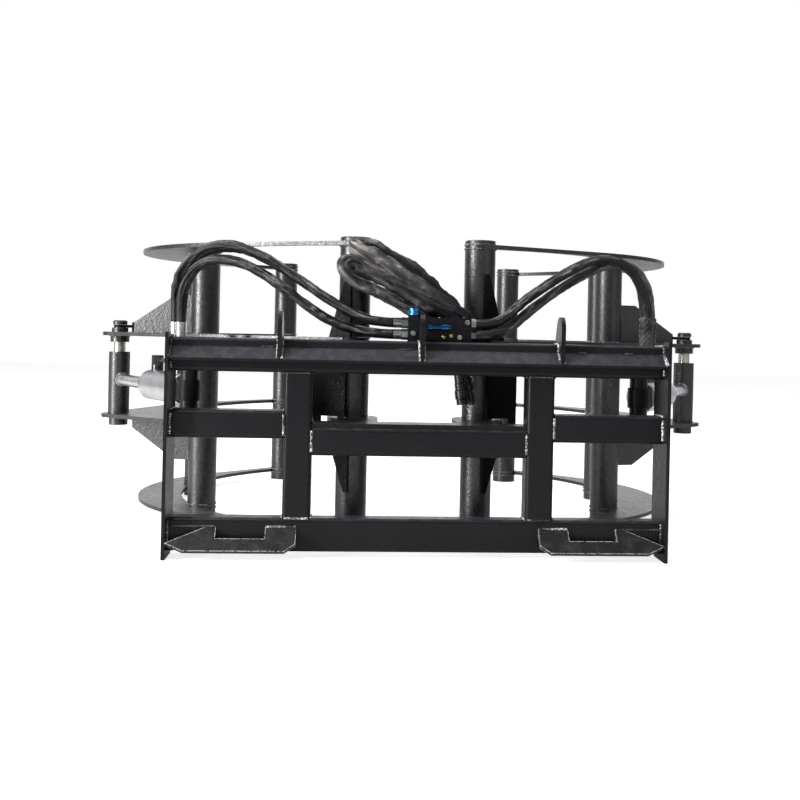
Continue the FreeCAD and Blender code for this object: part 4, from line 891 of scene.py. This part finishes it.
BLOCK_REAR = 0.0462
CAP = [
    (0, 0.0085), (0, 0.0130), (0.004, 0.0130), (0.005, 0.0105), (0.008, 0.0105), (0.009, 0.0130),
    (0.0145, 0.0130), (0.0155, 0.011), (0.0155, 0.004),
]
PLUG = [
    (0, 0.004), (0, 0.0085), (0.010, 0.0085), (0.011, 0.0055), (0.030, 0.0055), (0.031, 0.0085),
    (0.046, 0.0085), (0.047, 0.0065), (0.052, 0.0065), (0.052, 0.003),
]
NIPPLE = [(0, 0.002), (0, 0.0045), (0.006, 0.0045), (0.007, 0.003), (0.010, 0.003), (0.010, 0.001)]
BOLT = [(0, 0.0060), (0.0002, 0.0066), (0.0052, 0.0066), (0.0060, 0.0058), (0.0060, 0.002)]
COLLAR = [(0, 0.016), (0, 0.0222), (0.0105, 0.0222), (0.0114, 0.0215), (0.0114, 0.016)]
HEAD = [(0, 0.010), (0, 0.0196), (0.009, 0.0196), (0.012, 0.016), (0.012, 0.006)]
END_RING = [(0, 0.030), (0, 0.0352), (0.0034, 0.0385), (0.0150, 0.0385), (0.0150, 0.037)]

# A valve cap and a line fitting on the valve block, painted blue for the sky they reflect.
foot = above_floor(-0.015, 0.068, 0.5572)
turned_piece("blue_valve_cap", foot, UPWARD, CAP, BLUE, "frame")
foot = above_floor(0.016, 0.0395, 0.528)
turned_piece("blue_line_fitting", foot, (1, -0.02, 0.01), PLUG, DARK_BLUE, "frame")
for number, (x, z) in enumerate(((0.052, 0.506), (0.070, 0.509)), 1):
    foot = above_floor(x, BLOCK_REAR, z)
    turned_piece(f"brass_nipple_{number}", foot, BACKWARD, NIPPLE, BRASS, "frame")
for number, (x, z) in enumerate(((-0.018, 0.514), (0.090, 0.506), (0.108, 0.541)), 1):
    foot = above_floor(x, BLOCK_REAR, z)
    turned_piece(f"block_bolt_{number}", foot, BACKWARD, BOLT, NUTS, "frame", sides=6)

for name, side in SIDES:
    arm = f"arm_{name}"
    pin_top = above_floor(side * ROD_PIN.x, ROD_PIN.y, 0.5003)
    turned_piece(f"pin_collar_{name}", pin_top, UPWARD, COLLAR, ARM_BLACK, arm)
    foot = pin_top + Vector((0, 0, 0.0200))
    turned_piece(f"pin_head_{name}", foot, UPWARD, HEAD, ARM_BLACK, arm)
    axis = cylinder_axis(side)
    foot = mirrored(BASE_PIN, side) + axis * 0.0297
    turned_piece(
        f"barrel_end_ring_{name}", foot, axis, END_RING, BARREL, f"barrel_{name}",
        sides=48,
    )


# Stage and light

def light(name, place, target, width, tall, power, color=(1, 1, 1)):
    data = bpy.data.lights.new(name, "AREA")
    data.shape = "RECTANGLE"
    data.size = width
    data.size_y = tall
    data.energy = power
    data.color = color
    lamp = bpy.data.objects.new(name, data)
    lamp.location = place
    lamp.rotation_mode = "QUATERNION"
    lamp.rotation_quaternion = (Vector(target) - Vector(place)).to_track_quat("-Z", "Y")
    lamp.visible_camera = False
    bpy.context.scene.collection.objects.link(lamp)


# The strip and the back light are long so that the tubes and the flat plates reflect them.
light(
    "key strip", place=(-5.7, -2.75, 1.7), target=(0, 0.4, 0.3), width=0.75, tall=4.4, power=760,
    color=(1.0, 0.98, 0.95),
)
light(
    "key high", place=(-1.6, -1.9, 3.0), target=(0, 0.4, 0), width=0.6, tall=0.6, power=45,
    color=(1.0, 0.97, 0.93),
)
light("fill", place=(3.0, -2.2, 1.6), target=(0, 0.4, 0), width=1.6, tall=1.6, power=10)
light("top", place=(0.2, 1.0, 3.4), target=(0, 0.6, 0), width=2.6, tall=2.6, power=34)
light("back", place=(0.0, 5.2, 1.35), target=(0, 0.5, 1.35), width=10.0, tall=2.7, power=90)

WHITE = (1, 1, 1, 1)
FLOOR_GLOW = 0.76
FLOOR_REFLECTED = 0.18
WORLD_LIGHT = 0.22
WORLD_REFLECTED = 0.12


def white_share(made, reflected):
    """How much a ray sees of the white: all in the picture and through glass, part in metal."""
    rays = made.add("ShaderNodeLightPath").outputs
    share = made.times(rays["Is Glossy Ray"], reflected)
    for ray in ("Is Camera Ray", "Is Transmission Ray"):
        share = made.math("MAXIMUM", rays[ray], share)
    return share


floor_paint = Nodes(bpy.data.materials.new("pale_floor"))
floor_paint.surface((0.86, 0.86, 0.86, 1), 0.9)
diffuse = floor_paint.tree.nodes["Principled BSDF"].outputs[0]
glow = floor_paint.join("ShaderNodeEmission", WHITE, FLOOR_GLOW)
white = floor_paint.join("ShaderNodeAddShader", diffuse, glow)
share = white_share(floor_paint, FLOOR_REFLECTED)
shown = floor_paint.join("ShaderNodeMixShader", share, diffuse, white)
floor_paint.feed(floor_paint.tree.nodes["Material Output"].inputs["Surface"], shown)

made = bmesh.new()
bmesh.ops.create_grid(made, x_segments=1, y_segments=1, size=12)
mesh = bpy.data.meshes.new("floor")
made.to_mesh(mesh)
made.free()
mesh.materials.append(floor_paint.owner)
ground = bpy.data.objects.new("floor", mesh)
ground.location = (0, 0, FLOOR - 0.0005)
bpy.context.scene.collection.objects.link(ground)

world = Nodes(bpy.data.worlds.new("studio"))
bpy.context.scene.world = world.owner
plain = world.tree.nodes["Background"]
world.feed(plain.inputs["Color"], (0.86, 0.90, 0.97, 1))
world.feed(plain.inputs["Strength"], WORLD_LIGHT)
white = world.join("ShaderNodeBackground", WHITE, 1.0)
share = white_share(world, WORLD_REFLECTED)
shown = world.join("ShaderNodeMixShader", share, plain.outputs[0], white)
world.feed(world.tree.nodes["World Output"].inputs["Surface"], shown)
